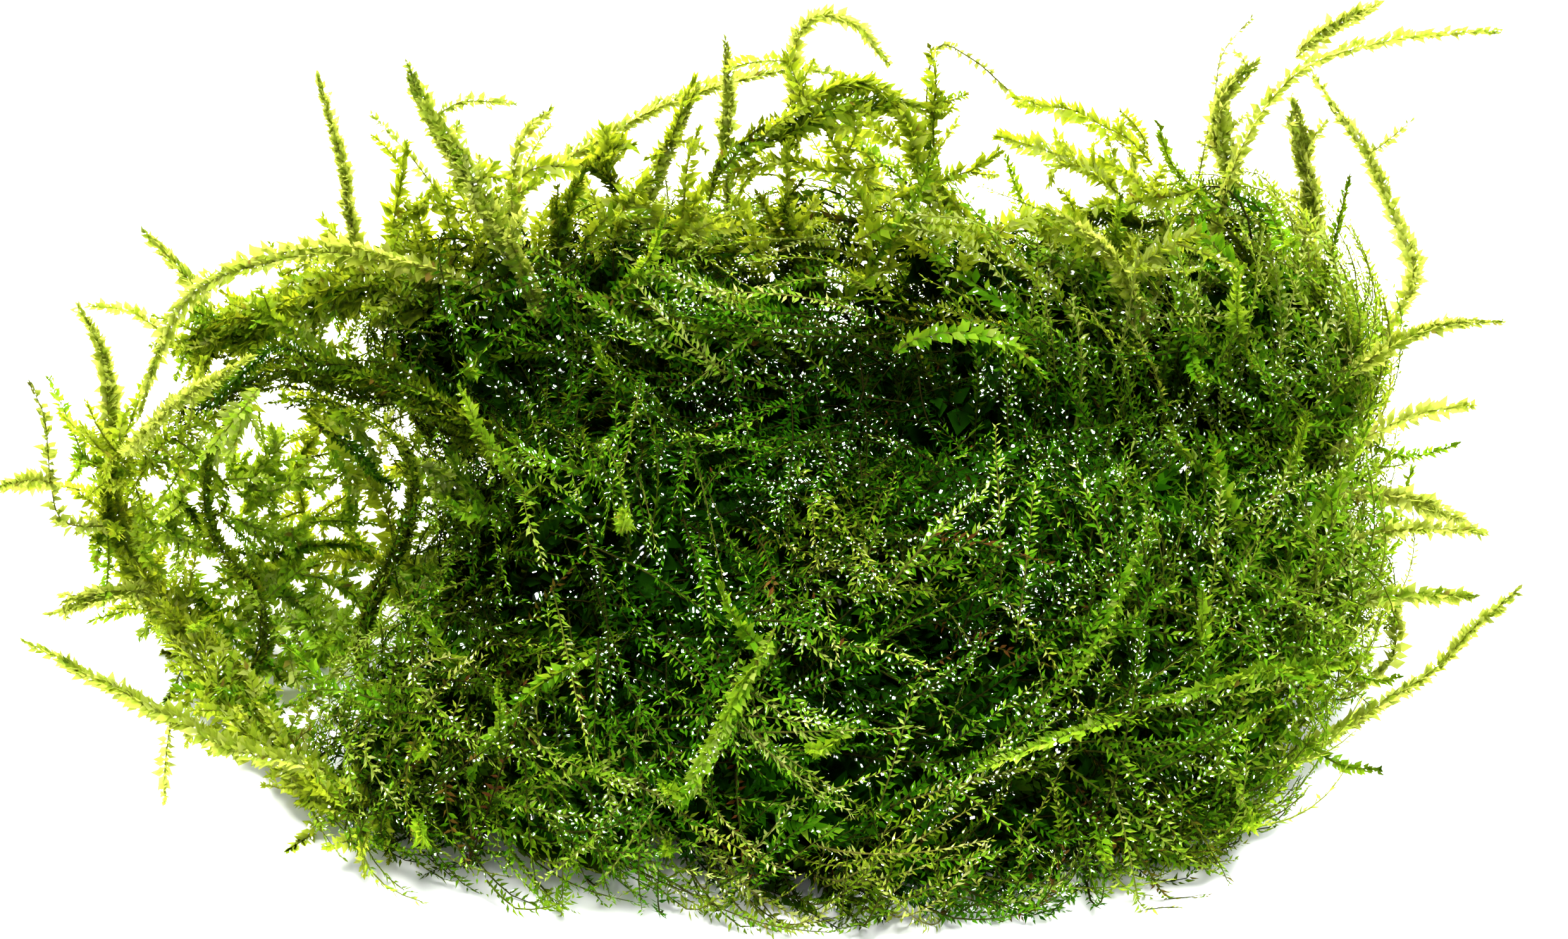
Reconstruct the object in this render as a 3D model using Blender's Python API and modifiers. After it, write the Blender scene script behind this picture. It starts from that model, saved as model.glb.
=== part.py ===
"""Moss clump: a tangled mat of wet, branching shoots, with loose shoots and hoops standing out of it.

The clump lies on a surface at z = 0, on its flat underside. +X is to the right, +Y is towards its
high back rim, and the origin is on the underside, under the middle of the mat. Every length and
point below is in millimetres, and MM turns it into metres.
"""
import math
import random

import bpy
import bmesh
from mathutils import Matrix, Vector
from mathutils.bvhtree import BVHTree

MM = 0.001
UP = Vector((0, 0, 1))

# The mat: a heap of tufts under one skin, with strands of moss lying over it
SKIN_VOXEL = 1.0
BALL_SUBDIVISIONS = 3
MAT_SHARE_KEPT = 0.107
SMOOTH_STEPS = 1
SMOOTH_FACTOR = 0.4
STRAND_COUNT = 140
STRAND_RADIUS = 1.35
STRAND_RISE = 0.45
STRAND_STEP = 2.4
STRAND_STEPS = (5, 10)
STRAND_TURN = 0.2
STRAND_LOWEST = 2.5
SWIRL_SPREAD = 0.8
SEED = 4
UNDERSIDE_SLAB = (200, 200, 40)

# The sprigs: short pointed shoots that stand out of the mat all over and bend upwards
SPRIG_COUNT = 62
SPRIG_SIDES = 4
SPRIG_HALF_WIDTHS = (0.8, 0.85, 0.65, 0.2)
SPRIG_DEPTH = 2.0
SPRIG_REACH = (5.0, 9.0)
SPRIG_LEAN = 0.8
SPRIG_RISE = 0.6
SPRIG_LOWEST = 4.0
SPRIG_GAP = 3.2
SPRIG_SEED = 5

# A place is in the mat where the nearest face looks away from it by more than this share of the way
INSIDE_SHARE = 0.5

# The loose shoots: a flattened, tapering section, as two rows of leaves give it
CLEARANCE = 0.3
SLIMMEST = 0.2
SHOOT_SIDES = 4
ROPE_SIDES = 8
ROPE_FROM = 1.5
THICKNESS_SHARE = 0.6
FOOT_SHARE = 0.55
TIP_SHARE = 0.2
TAPER_START = 0.5
RING_SPACING = 2.4
FEWEST_RINGS = 5
MOST_RINGS = 18
SAMPLES = 24

DEEP_GREEN = (0.030, 0.075, 0.010)
MID_GREEN = (0.085, 0.170, 0.018)
PALE_GREEN = (0.330, 0.400, 0.060)
BROWN_STEM = (0.120, 0.100, 0.022)

# The mat's tufts: centre x, y, z and half sizes x, y, z
TUFTS = (
    (6, -1, 5, 35, 24, 18),
    (6, 17, 21, 14, 8, 15),
    (4, 9, 17, 28, 9, 14),
    (-12, 14, 18, 13, 9, 16),
    (-23, 12, 20, 9, 7, 12),
    (22, 14, 17, 12, 9, 13),
    (34, 14, 20, 9, 8, 15),
    (40, 11, 17, 7, 9, 12),
    (35, -2, 8, 11, 12, 11),
    (24, -13, 3, 15, 12, 11),
    (6, -16, 3, 20, 14, 12),
    (-14, -14, 3, 18, 13, 12),
    (-13, -2, 12, 10, 12, 12),
    (-23, -17, 3, 11, 9, 8),
)
HOLLOW = (5, 0, 30, 14, 9.5, 12.5)

# The loose shoots: half width, green, and the points each passes through, from its foot to its tip.
# One that would run into the mat or an earlier shoot stops just short of it.
SHOOTS = {
    # The open lobe on the left: ropes of moss round a hollow, and hoops across it
    "left_rim": (2.1, MID_GREEN, (-26, -20, 4), (-32, -20.5, 3.2), (-39.5, -13, 3), (-44.5, -6, 3),
                 (-49.5, 1, 3.6), (-53, 4, 7), (-53, 4, 12), (-51, 3.5, 18)),
    "left_band_back": (2.3, MID_GREEN, (-22, 12, 26), (-31.5, 11, 27), (-37, 11, 25.5),
                       (-42, 10.5, 24), (-47.5, 9, 22)),
    "left_band_front": (1.7, DEEP_GREEN, (-16, -2, 16), (-22.5, -0.5, 21.5), (-26.5, 0, 24.5),
                        (-32, 1, 26), (-38, 2.5, 25.5), (-43, 4, 22), (-47.5, 5, 18)),
    "left_hoop_front": (1.0, DEEP_GREEN, (-29, -13, 4), (-32.3, -8.4, 4), (-31.5, -5.5, 9),
                        (-28, -4.5, 16), (-27.3, -3.8, 20), (-28, -3.2, 23), (-30.5, -2.9, 25.3),
                        (-34.5, -2.1, 26), (-38, -1.4, 25)),
    "left_hoop_drop": (0.9, DEEP_GREEN, (-42.5, -8.7, 3.5), (-40.4, -6, 4.8), (-40.5, -3.8, 9),
                       (-43, -3, 14), (-43, -2.6, 19), (-42, -1.6, 22.2), (-39.5, 0.2, 24.3)),
    "left_hoop_outer": (0.7, BROWN_STEM, (-51.5, 3.4, 15.5), (-49.3, 1.2, 16.6), (-46.5, 0, 20.5),
                        (-43.5, 0, 22.3), (-41.5, 0.6, 23.3)),
    "left_inner_stem": (0.8, MID_GREEN, (-39, 8, 2), (-39.5, 9.5, 6), (-40, 10.5, 10), (-38, 10, 14),
                        (-37, 9.5, 20), (-36.5, 10.8, 25.2)),
    "left_inner_right": (0.7, MID_GREEN, (-23, -1, 4), (-27.5, -1.2, 3.6), (-30, -0.6, 7.5),
                         (-30.5, 0.3, 14), (-33, 1.5, 18.5), (-36, 2, 22)),
    "left_inner_low": (0.7, MID_GREEN, (-26, 3, 5), (-32, 4.5, 4.6), (-36, 5, 4.5), (-41, 5, 3.6),
                       (-46, 4.5, 3)),
    "left_inner_arch": (0.5, BROWN_STEM, (-18, 14, 12), (-26, 14, 9), (-32, 14.5, 6.5), (-36, 14, 3.8),
                        (-39.5, 13, 1.2)),

    # Loose shoots on the far left
    "left_long_arch": (0.8, PALE_GREEN, (-22, 9, 28), (-28, 8.5, 30.8), (-34, 8, 32.5), (-39.5, 7, 31.8),
                       (-44, 6, 29.8), (-47, 4, 25.5), (-49, 3, 21)),
    "left_lean_inner": (0.85, MID_GREEN, (-50.8, 3, 17.5), (-49, 0, 20), (-46.5, -2, 23.5),
                        (-44, -3, 26.5), (-41, -4, 29), (-37.5, -4.3, 31.5)),
    "left_far_high": (0.6, BROWN_STEM, (-52.8, 3.5, 9.5), (-54.5, -2.5, 15), (-54.2, -3.5, 20),
                      (-53.5, -3.5, 25.5), (-53.8, -4, 29)),
    "left_far_low": (0.7, PALE_GREEN, (-54.2, -3.4, 19.5), (-55.2, -5, 21), (-56.5, -7, 22)),
    "left_pale": (0.9, PALE_GREEN, (-52.8, 4.2, 12.5), (-53, 7.2, 15.5), (-53, 9, 21.5),
                  (-54, 9, 26.8)),
    "left_thin_arch": (0.45, PALE_GREEN, (-45.5, 10.5, 21.5), (-48, 13, 20.4), (-50, 14, 21.3),
                       (-52, 14, 23), (-55, 14, 23.5)),
    "left_up_short": (0.8, PALE_GREEN, (-44, 10.2, 23.5), (-45.6, 13, 24.4), (-48, 16.5, 25),
                      (-51, 18.5, 27.5)),
    "left_low_tuft": (1.1, PALE_GREEN, (-50.5, 2, 5), (-51.6, -1.2, 7.2), (-54, -3, 8), (-56.5, -5, 8)),
    "front_left_long": (0.9, PALE_GREEN, (-33, -20, 6.5), (-40.5, -17.5, 6.2), (-44.5, -15, 6),
                        (-50, -12.5, 7),
                        (-54, -11, 8.5), (-56.5, -10.5, 10)),
    "front_left_sprig": (0.5, PALE_GREEN, (-45.3, -14.8, 5.9), (-45.5, -17.3, 3.8),
                         (-45.2, -19.5, 2.6)),

    # Loose shoots along the back rim
    "back_left_slender": (0.85, PALE_GREEN, (-31, 10, 24), (-33, 12, 31), (-33.5, 13.5, 37),
                          (-34.5, 15, 43)),
    "back_left_bold": (1.2, MID_GREEN, (-18, 8, 26), (-21.5, 9, 34.5), (-25.5, 11, 41.5),
                       (-27.5, 12, 45.7)),
    "back_left_twig": (0.35, PALE_GREEN, (-25.4, 11.3, 42), (-23.5, 13, 42.2), (-20, 13.5, 41.8)),
    "back_left_wisp": (0.45, BROWN_STEM, (-24, 15, 28), (-28, 16.5, 34.5), (-32, 18, 39)),
    "back_left_curl": (0.6, PALE_GREEN, (-20.5, 13, 27), (-21, 15, 33), (-20, 17, 37), (-18, 18, 38.6)),
    "back_dark": (0.7, MID_GREEN, (-12, 14, 28), (-9.5, 15.5, 35), (-6.5, 17, 41.3)),
    "back_pale": (0.9, PALE_GREEN, (-4.5, 20, 28), (-4.5, 23, 37), (-4.5, 24, 41.5)),
    "back_arc_long": (0.8, PALE_GREEN, (-24, 19, 25), (-21, 21, 29.5), (-16, 22.5, 32.5), (-8, 25, 36),
                      (0, 27, 37.5), (5, 27, 37)),
    "back_hook": (0.7, PALE_GREEN, (1, 19, 34), (0.8, 19, 42.5), (2, 19, 45.5), (3.5, 19, 46),
                  (5.5, 19, 45.2), (8, 19.5, 42)),
    "back_bare_arc": (0.35, BROWN_STEM, (11, 20, 32), (11.5, 22, 41.5), (14.5, 22.5, 40.8),
                      (18.5, 22.5, 37.3),
                      (22, 22.5, 35.8), (26.5, 21.5, 34), (30, 20, 30)),
    "back_right_leafy": (0.9, MID_GREEN, (28, 9, 24), (26, 7.8, 29.5), (23.5, 8.2, 33),
                         (19.5, 9, 35.3)),

    # Loose shoots at the back right corner
    "right_main": (0.55, MID_GREEN, (33, 14, 24), (34.5, 16, 35), (38.5, 18.5, 41.3), (44, 18, 44.3),
                   (49.5, 17, 45.7),
                   (52.5, 16.5, 46)),
    "right_plume": (1.3, PALE_GREEN, (36, 20, 30), (34.3, 22, 36), (35.5, 23, 38.5), (37, 23.3, 40)),
    "right_crest": (0.9, PALE_GREEN, (39, 20.5, 42), (42, 20.5, 44.8), (44.5, 20, 46.6)),
    "right_drop": (1.2, PALE_GREEN, (42.5, 17, 22), (42, 20, 29.5), (41, 21.3, 33), (39.7, 22, 37.5)),
    "right_outer": (0.8, PALE_GREEN, (46, 12, 19), (49.5, 14, 26), (48.5, 16.5, 29.2), (46, 21, 33.3),
                    (43.5, 24, 36), (42, 25, 38)),
    "right_wisp": (0.35, BROWN_STEM, (46.2, 21.1, 33.1), (47.2, 22.8, 32.5), (48.5, 24, 32.8),
                   (50.3, 24.5, 34.3)),
    "right_hair": (0.3, BROWN_STEM, (33, 22, 26), (34.5, 26, 35), (35, 27.5, 38.5), (37, 28, 41.5)),

    # Loose shoots down the right side
    "right_upper": (0.8, MID_GREEN, (42, 4.5, 23), (47.5, 3, 28.8), (52, 1, 31)),
    "right_high": (0.6, PALE_GREEN, (42, 3, 17), (47, 1, 22.3), (50.5, -1, 24.8)),
    "right_mid": (0.8, PALE_GREEN, (42, 0, 16), (47.5, -2, 16.8), (52.5, -4, 15)),
    "right_sparse": (0.7, PALE_GREEN, (42, -4, 14), (45.5, -6.5, 17.3), (50, -8.5, 19)),
    "right_low": (0.7, PALE_GREEN, (42, -7, 11), (46.5, -9, 13.3), (50.5, -10, 14)),
    "right_curved": (0.6, MID_GREEN, (43, -8, 2), (46.5, -7.2, 4.5), (46.8, -6.2, 8), (45.8, -6.5, 11)),
    "right_front_long": (0.7, MID_GREEN, (31, -20, 3), (38, -15.5, 3.4), (43.5, -13, 5), (48.5, -11.5, 8),
                         (51, -11, 12), (52.5, -12.5, 17)),

    # Loose shoots behind the rim
    "behind_left_low": (0.8, MID_GREEN, (-22, 18, 9), (-27, 25, 10), (-32, 31, 14)),
    "behind_left_arc": (0.7, MID_GREEN, (-12, 20, 20), (-15, 28, 24), (-19, 33, 20), (-21, 34.5, 13)),
    "behind_left_high": (0.8, PALE_GREEN, (-13, 20, 20), (-16.5, 26, 25), (-18, 29.5, 29)),
    "behind_middle_low": (0.9, MID_GREEN, (-2, 20, 5), (-3, 29, 5.5), (-1, 35, 9)),
    "behind_middle_high": (0.8, PALE_GREEN, (7, 22, 22), (7.5, 30, 26.5), (5, 34, 31)),
    "behind_right_arc": (0.7, MID_GREEN, (20, 20, 18), (23, 28, 22), (27, 33, 19), (29, 34.5, 12)),
    "behind_right_low": (0.8, MID_GREEN, (30, 16, 7), (37, 24, 7), (42, 30, 10)),
    "behind_right_high": (0.8, PALE_GREEN, (25, 20, 18), (29, 27, 23), (29.5, 31, 28)),
}


def start_empty():
    """Removes whatever the scene holds."""
    for thing in list(bpy.data.objects):
        bpy.data.objects.remove(thing, do_unlink=True)


def new_collection(name):
    """A collection of its own in the scene."""
    collection = bpy.data.collections.new(name)
    bpy.context.scene.collection.children.link(collection)
    return collection


def moss_material(name, green):
    """Wet moss: a glossy surface in the given green."""
    material = bpy.data.materials.new(name)
    material.use_nodes = True
    surface = material.node_tree.nodes["Principled BSDF"]
    surface.inputs["Base Color"].default_value = (*green, 1)
    surface.inputs["Roughness"].default_value = 0.3
    surface.inputs["Metallic"].default_value = 0
    return material


def add_ball(mesh, x, y, z, half_x, half_y, half_z):
    """Adds an ellipsoid to a bmesh."""
    place = Matrix.Translation(Vector((x, y, z)) * MM)
    size = Matrix.Diagonal((half_x * MM, half_y * MM, half_z * MM, 1))
    bmesh.ops.create_icosphere(mesh, subdivisions=BALL_SUBDIVISIONS, radius=1, matrix=place @ size)


def add_object(name, data, collection):
    thing = bpy.data.objects.new(name, data)
    collection.objects.link(thing)
    return thing


def add_built(name, mesh, collection):
    """A new object that holds a finished bmesh."""
    data = bpy.data.meshes.new(name)
    mesh.to_mesh(data)
    mesh.free()
    return add_object(name, data, collection)


def as_guide(thing):
    """Hides a helper from the render and draws it as wire."""
    thing.hide_render = True
    thing.display_type = "WIRE"


def settled_mesh(thing):
    """The object's shape after its modifiers, as a bmesh with its doubles merged."""
    graph = bpy.context.evaluated_depsgraph_get()
    data = bpy.data.meshes.new_from_object(thing.evaluated_get(graph))
    mesh = bmesh.new()
    mesh.from_mesh(data)
    bpy.data.meshes.remove(data)
    bmesh.ops.remove_doubles(mesh, verts=mesh.verts, dist=0.001 * MM)
    return mesh


def skin_of(thing):
    """A search tree over the object's surface after its modifiers."""
    return BVHTree.FromObject(thing, bpy.context.evaluated_depsgraph_get())


def smooth_route(points, count):
    """Evenly spaced places along a Catmull-Rom curve through the points."""
    knots = [Vector(p) for p in points]
    knots = [2 * knots[0] - knots[1]] + knots + [2 * knots[-1] - knots[-2]]
    fine = []
    for a, b, c, d in zip(knots, knots[1:], knots[2:], knots[3:]):
        for step in range(SAMPLES):
            t = step / SAMPLES
            bend = (2 * a - 5 * b + 4 * c - d) * t * t + (3 * b - a - 3 * c + d) * t * t * t
            fine.append((2 * b + (c - a) * t + bend) / 2)
    fine.append(knots[-2])
    along = [0.0]
    for one, two in zip(fine, fine[1:]):
        along.append(along[-1] + (two - one).length)
    route = []
    piece = 0
    for k in range(count):
        wanted = along[-1] * k / (count - 1)
        while piece < len(along) - 2 and along[piece + 1] < wanted:
            piece += 1
        share = (wanted - along[piece]) / (along[piece + 1] - along[piece])
        route.append(fine[piece].lerp(fine[piece + 1], share))
    return route


def route_length(route):
    return sum((b - a).length for a, b in zip(route, route[1:]))


def section_outline(name, sides, thickness_share, collection):
    """The outline that a curve carries: a polygon with a half width of 1 mm, flattened by the share."""
    data = bpy.data.curves.new(name, "CURVE")
    line = data.splines.new("POLY")
    line.points.add(sides - 1)
    for k, point in enumerate(line.points):
        turn = -2 * math.pi * k / sides
        point.co = (math.cos(turn) * MM, math.sin(turn) * thickness_share * MM, 0, 1)
    line.use_cyclic_u = True
    thing = add_object(name, data, collection)
    as_guide(thing)
    return thing


def tube(name, route, half_widths, outline, collection):
    """A curve that carries the outline along the route, at each place's half width, with filled ends."""
    data = bpy.data.curves.new(name, "CURVE")
    data.dimensions = "3D"
    data.bevel_mode = "OBJECT"
    data.bevel_object = outline
    data.use_fill_caps = True
    line = data.splines.new("POLY")
    line.points.add(len(route) - 1)
    for point, place, half_width in zip(line.points, route, half_widths):
        point.co = (*(place * MM), 1)
        point.radius = half_width
    return add_object(name, data, collection)


def strand_route(start, skin, rng):
    """A strand's walk over the skin: it circles the hollow, give or take, and keeps turning one way."""
    place, normal, _, _ = skin.find_nearest(start)
    outward = place / MM - Vector((HOLLOW[0], HOLLOW[1], place.z / MM))
    heading = UP.cross(outward)
    heading.rotate(Matrix.Rotation(rng.gauss(0, SWIRL_SPREAD), 3, normal))
    turn = Matrix.Rotation(rng.uniform(-STRAND_TURN, STRAND_TURN), 3, UP)
    route = []
    for _ in range(rng.randint(*STRAND_STEPS)):
        route.append(place / MM + normal * STRAND_RISE)
        heading.rotate(turn)
        heading = (heading - normal * heading.dot(normal)).normalized()
        place, normal, _, _ = skin.find_nearest(place + heading * STRAND_STEP * MM)
    return route


def strand_radii(count):
    """A strand is thickest in the middle and thin at both ends."""
    return [STRAND_RADIUS * (0.45 + 0.55 * math.sin(math.pi * k / (count - 1))) for k in range(count)]


def keep_largest(mesh):
    """Leaves only the shell with the most faces, so that no pocket is sealed inside the mat."""
    left = set(mesh.verts)
    shells = []
    while left:
        shell, edge = set(), [next(iter(left))]
        while edge:
            vert = edge.pop()
            if vert in shell:
                continue
            shell.add(vert)
            edge.extend(e.other_vert(vert) for e in vert.link_edges)
        left -= shell
        shells.append(shell)
    keep = max(shells, key=len)
    bmesh.ops.delete(mesh, geom=[v for v in mesh.verts if v not in keep], context="VERTS")


def add_skin(thing):
    skin = thing.modifiers.new("one skin", "REMESH")
    skin.mode = "VOXEL"
    skin.voxel_size = SKIN_VOXEL * MM
    skin.use_smooth_shade = True


def add_boolean(thing, operation, other):
    boolean = thing.modifiers.new(other.name, "BOOLEAN")
    boolean.operation = operation
    boolean.solver = "EXACT"
    boolean.object = other


def hollow_cutter(collection):
    """The ball whose removal leaves the nest-like hollow on top."""
    mesh = bmesh.new()
    add_ball(mesh, *HOLLOW)
    cutter = add_built("hollow", mesh, collection)
    as_guide(cutter)
    return cutter


def underside_cutter(collection):
    """The slab under z = 0 whose removal leaves the flat underside."""
    mesh = bmesh.new()
    bmesh.ops.create_cube(mesh, size=1)
    bmesh.ops.scale(mesh, verts=mesh.verts, vec=Vector(UNDERSIDE_SLAB) * MM)
    bmesh.ops.translate(mesh, verts=mesh.verts, vec=-UP * UNDERSIDE_SLAB[2] / 2 * MM)
    cutter = add_built("underside", mesh, collection)
    as_guide(cutter)
    return cutter


def heap_of_tufts(collection, cutters):
    """The tufts under one skin, with the hollow taken out."""
    mesh = bmesh.new()
    for tuft in TUFTS:
        add_ball(mesh, *tuft)
    heap = add_built("tangled_mat", mesh, collection)
    add_skin(heap)
    add_boolean(heap, "DIFFERENCE", hollow_cutter(cutters))
    return heap


def inside_ball(place, ball, margin=0.0):
    """Whether a place is within an ellipsoid, or within the margin of it."""
    x, y, z, half_x, half_y, half_z = ball
    across = (place.x - x) / (half_x + margin)
    along = (place.y - y) / (half_y + margin)
    return across ** 2 + along ** 2 + ((place.z - z) / (half_z + margin)) ** 2 < 1


def sprig_routes():
    """Points along each sprig: it leans out of a tuft, clear of the hollow, loose shoots and others."""
    rng = random.Random(SPRIG_SEED)
    taken = [place for shoot in SHOOTS.values() for place in smooth_route(shoot[2:], SAMPLES)]
    routes = []
    while len(routes) < SPRIG_COUNT:
        x, y, z, half_x, half_y, half_z = tuft = rng.choice(TUFTS)
        way = Vector([rng.gauss(0, 1) for _ in range(3)]).normalized()
        lean = Vector([rng.gauss(0, 1) for _ in range(3)]).normalized()
        reach = rng.uniform(*SPRIG_REACH)
        place = Vector((x + half_x * way.x, y + half_y * way.y, z + half_z * way.z))
        outward = Vector((way.x / half_x, way.y / half_y, way.z / half_z)).normalized()
        heading = (outward + SPRIG_LEAN * lean).normalized()
        middle = place + heading * reach / 2
        tip = middle + (heading + SPRIG_RISE * UP).normalized() * reach / 2
        if min(place.z, tip.z) < SPRIG_LOWEST or inside_ball(place, HOLLOW):
            continue
        if any(inside_ball(place, other) for other in TUFTS if other is not tuft):
            continue
        if any(inside_ball(tip, other, SPRIG_REACH[0] / 2) for other in TUFTS):
            continue
        if any(min((spot - one).length for one in (place, middle, tip)) < SPRIG_GAP for spot in taken):
            continue
        taken += [place, middle, tip]
        routes.append(smooth_route([place - heading * SPRIG_DEPTH, middle, tip], len(SPRIG_HALF_WIDTHS)))
    return routes


def sprig_solids(outline, collection):
    """All the sprigs in one helper object, to be joined to the mat."""
    mesh = bmesh.new()
    for route in sprig_routes():
        join_settled(mesh, tube("sprig", route, SPRIG_HALF_WIDTHS, outline, collection))
    sprigs = add_built("sprigs", mesh, collection)
    as_guide(sprigs)
    return sprigs


def join_settled(mesh, thing):
    """Adds the object's settled shape to a bmesh, and removes the object."""
    piece = settled_mesh(thing)
    data = bpy.data.meshes.new(thing.name)
    piece.to_mesh(data)
    piece.free()
    mesh.from_mesh(data)
    bpy.data.meshes.remove(data)
    bpy.data.objects.remove(thing)


def add_strands(mesh, skin, outline, collection):
    """Joins the strands that lie over the heap to its mesh."""
    rng = random.Random(SEED)
    starts = [vert.co.copy() for vert in mesh.verts if vert.co.z > STRAND_LOWEST * MM]
    for _ in range(STRAND_COUNT):
        route = strand_route(rng.choice(starts), skin, rng)
        join_settled(mesh, tube("strand", route, strand_radii(len(route)), outline, collection))


def build_mat(collection, cutters, strand_outline, sprig_outline):
    """The tangled mat: tufts and strands under one skin, with sprigs out of it, cut flat below."""
    heap = heap_of_tufts(collection, cutters)
    mesh = settled_mesh(heap)
    add_strands(mesh, skin_of(heap), strand_outline, collection)
    heap.modifiers.clear()
    mesh.to_mesh(heap.data)
    mesh.free()

    add_skin(heap)
    soften = heap.modifiers.new("soften", "SMOOTH")
    soften.factor = SMOOTH_FACTOR
    soften.iterations = SMOOTH_STEPS
    mesh = settled_mesh(heap)
    keep_largest(mesh)
    heap.modifiers.clear()
    mesh.to_mesh(heap.data)
    mesh.free()

    fewer = heap.modifiers.new("fewer faces", "DECIMATE")
    fewer.ratio = MAT_SHARE_KEPT
    add_boolean(heap, "UNION", sprig_solids(sprig_outline, cutters))
    add_boolean(heap, "DIFFERENCE", underside_cutter(cutters))
    heap.data.materials.append(moss_material("tangled_mat", DEEP_GREEN))
    return heap


def full_width(along):
    """The share of its full width that a shoot has there: narrow at its foot and pointed at its tip."""
    if along < TAPER_START:
        return FOOT_SHARE + (1 - FOOT_SHARE) * math.sin(math.pi / 2 * min(1, along / TAPER_START * 2))
    return TIP_SHARE + (1 - TIP_SHARE) * math.cos(math.pi / 2 * (along - TAPER_START) / (1 - TAPER_START))


def room_at(place, skin, others):
    """How far a shoot's edge may stand out at a place before it is too near the mat or another shoot."""
    nearest, outward, _, distance = skin.find_nearest(place * MM)
    inside = (place * MM - nearest).dot(outward) < -INSIDE_SHARE * distance
    room = -distance / MM if inside else distance / MM
    for route, half_widths in others:
        for a, b, half_width in zip(route, route[1:], half_widths):
            along = max(0, min(1, (place - a).dot(b - a) / (b - a).length_squared))
            room = min(room, (place - a.lerp(b, along)).length - half_width)
    return room - CLEARANCE


def clear_run(points, half_width, skin, others):
    """The longest stretch of a shoot's route that is clear of the mat and of the earlier shoots."""
    route = smooth_route(points, SAMPLES * (len(points) - 1))
    clear = [room_at(place, skin, others) > min(SLIMMEST, half_width / 2) for place in route]
    best, start = (0, 0), None
    for k, is_clear in enumerate(clear + [False]):
        if is_clear and start is None:
            start = k
        if not is_clear and start is not None:
            best = max(best, (start, k), key=lambda run: run[1] - run[0])
            start = None
    return route[best[0]:best[1]]


def build_shoot(name, shoot, skin, others, outlines, collection):
    """One loose shoot, from where it comes clear of the mat to its tip."""
    half_width, green, *points = shoot
    run = clear_run(points, half_width, skin, others)
    rings = round(route_length(run) / RING_SPACING)
    rings = max(FEWEST_RINGS, min(MOST_RINGS, rings))
    route = smooth_route(run, rings)
    widths = []
    for k, place in enumerate(route):
        wanted = half_width * full_width(k / (rings - 1))
        widths.append(min(wanted, max(room_at(place, skin, others), SLIMMEST / 2)))
    sides = ROPE_SIDES if half_width > ROPE_FROM else SHOOT_SIDES
    thing = tube(name, route, widths, outlines[sides], collection)
    thing.data.materials.append(moss_material(name, green))
    others.append((route, widths))
    return thing


def main():
    start_empty()
    clump = new_collection("moss_clump")
    cutters = new_collection("cutters")
    strand_outline = section_outline("strand_outline", ROPE_SIDES, 1, cutters)
    sprig_outline = section_outline("sprig_outline", SPRIG_SIDES, 1, cutters)
    mat = build_mat(clump, cutters, strand_outline, sprig_outline)
    outlines = {}
    for sides in (SHOOT_SIDES, ROPE_SIDES):
        outlines[sides] = section_outline(f"outline_{sides}", sides, THICKNESS_SHARE, cutters)
    skin = skin_of(mat)
    others = []
    for name, shoot in SHOOTS.items():
        build_shoot(name, shoot, skin, others, outlines, clump)


main()
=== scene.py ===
"""Moss clump, dressed: wet leafy shoots in place of the plain solids of the frame.

Every length, point and table of the moss is in millimetres, and MM turns it into metres when a mesh is
made. The floor, the lamps and the camera are in metres.
A shoot is a path from its foot to its tip, with a stem and rows of folded leaves. The shoots of the
tangled mat grow just under the skin of its solid, and each loose shoot runs along its solid's route.
A tone is a number from 0, a green that is nearly black, to 1, a pale yellow green.
"""

import math

import bpy
import numpy as np
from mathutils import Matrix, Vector


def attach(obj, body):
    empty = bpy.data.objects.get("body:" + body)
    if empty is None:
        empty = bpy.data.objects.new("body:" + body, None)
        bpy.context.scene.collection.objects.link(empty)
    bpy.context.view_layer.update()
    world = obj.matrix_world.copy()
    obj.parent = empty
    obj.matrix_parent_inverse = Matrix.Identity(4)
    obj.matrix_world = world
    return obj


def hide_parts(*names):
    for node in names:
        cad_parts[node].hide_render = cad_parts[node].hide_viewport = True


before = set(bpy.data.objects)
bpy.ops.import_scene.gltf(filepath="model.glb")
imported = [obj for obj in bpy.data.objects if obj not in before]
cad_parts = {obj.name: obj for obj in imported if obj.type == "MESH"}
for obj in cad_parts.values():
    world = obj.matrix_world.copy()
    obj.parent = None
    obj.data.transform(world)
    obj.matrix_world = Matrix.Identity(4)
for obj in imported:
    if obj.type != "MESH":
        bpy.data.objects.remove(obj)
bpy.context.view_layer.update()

MM = 0.001
UP = np.array((0.0, 0.0, 1.0))

# The map of the moss colours: tones lie across it, and up it the rows of leaves, wet leaves, stems and
# dead leaves. ROW_GAP is free under a row, and a leaf or stem takes up so much of its row's height.
MOSS_MAP = "OFBake"
LEAF_ROW, WET_ROW, STEM_ROW, DEAD_ROW, ROW_GAP = 0.02, 0.24, 0.46, 0.78, 0.02
LEAF_BAND, STEM_BAND = 0.18, 0.2
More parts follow.
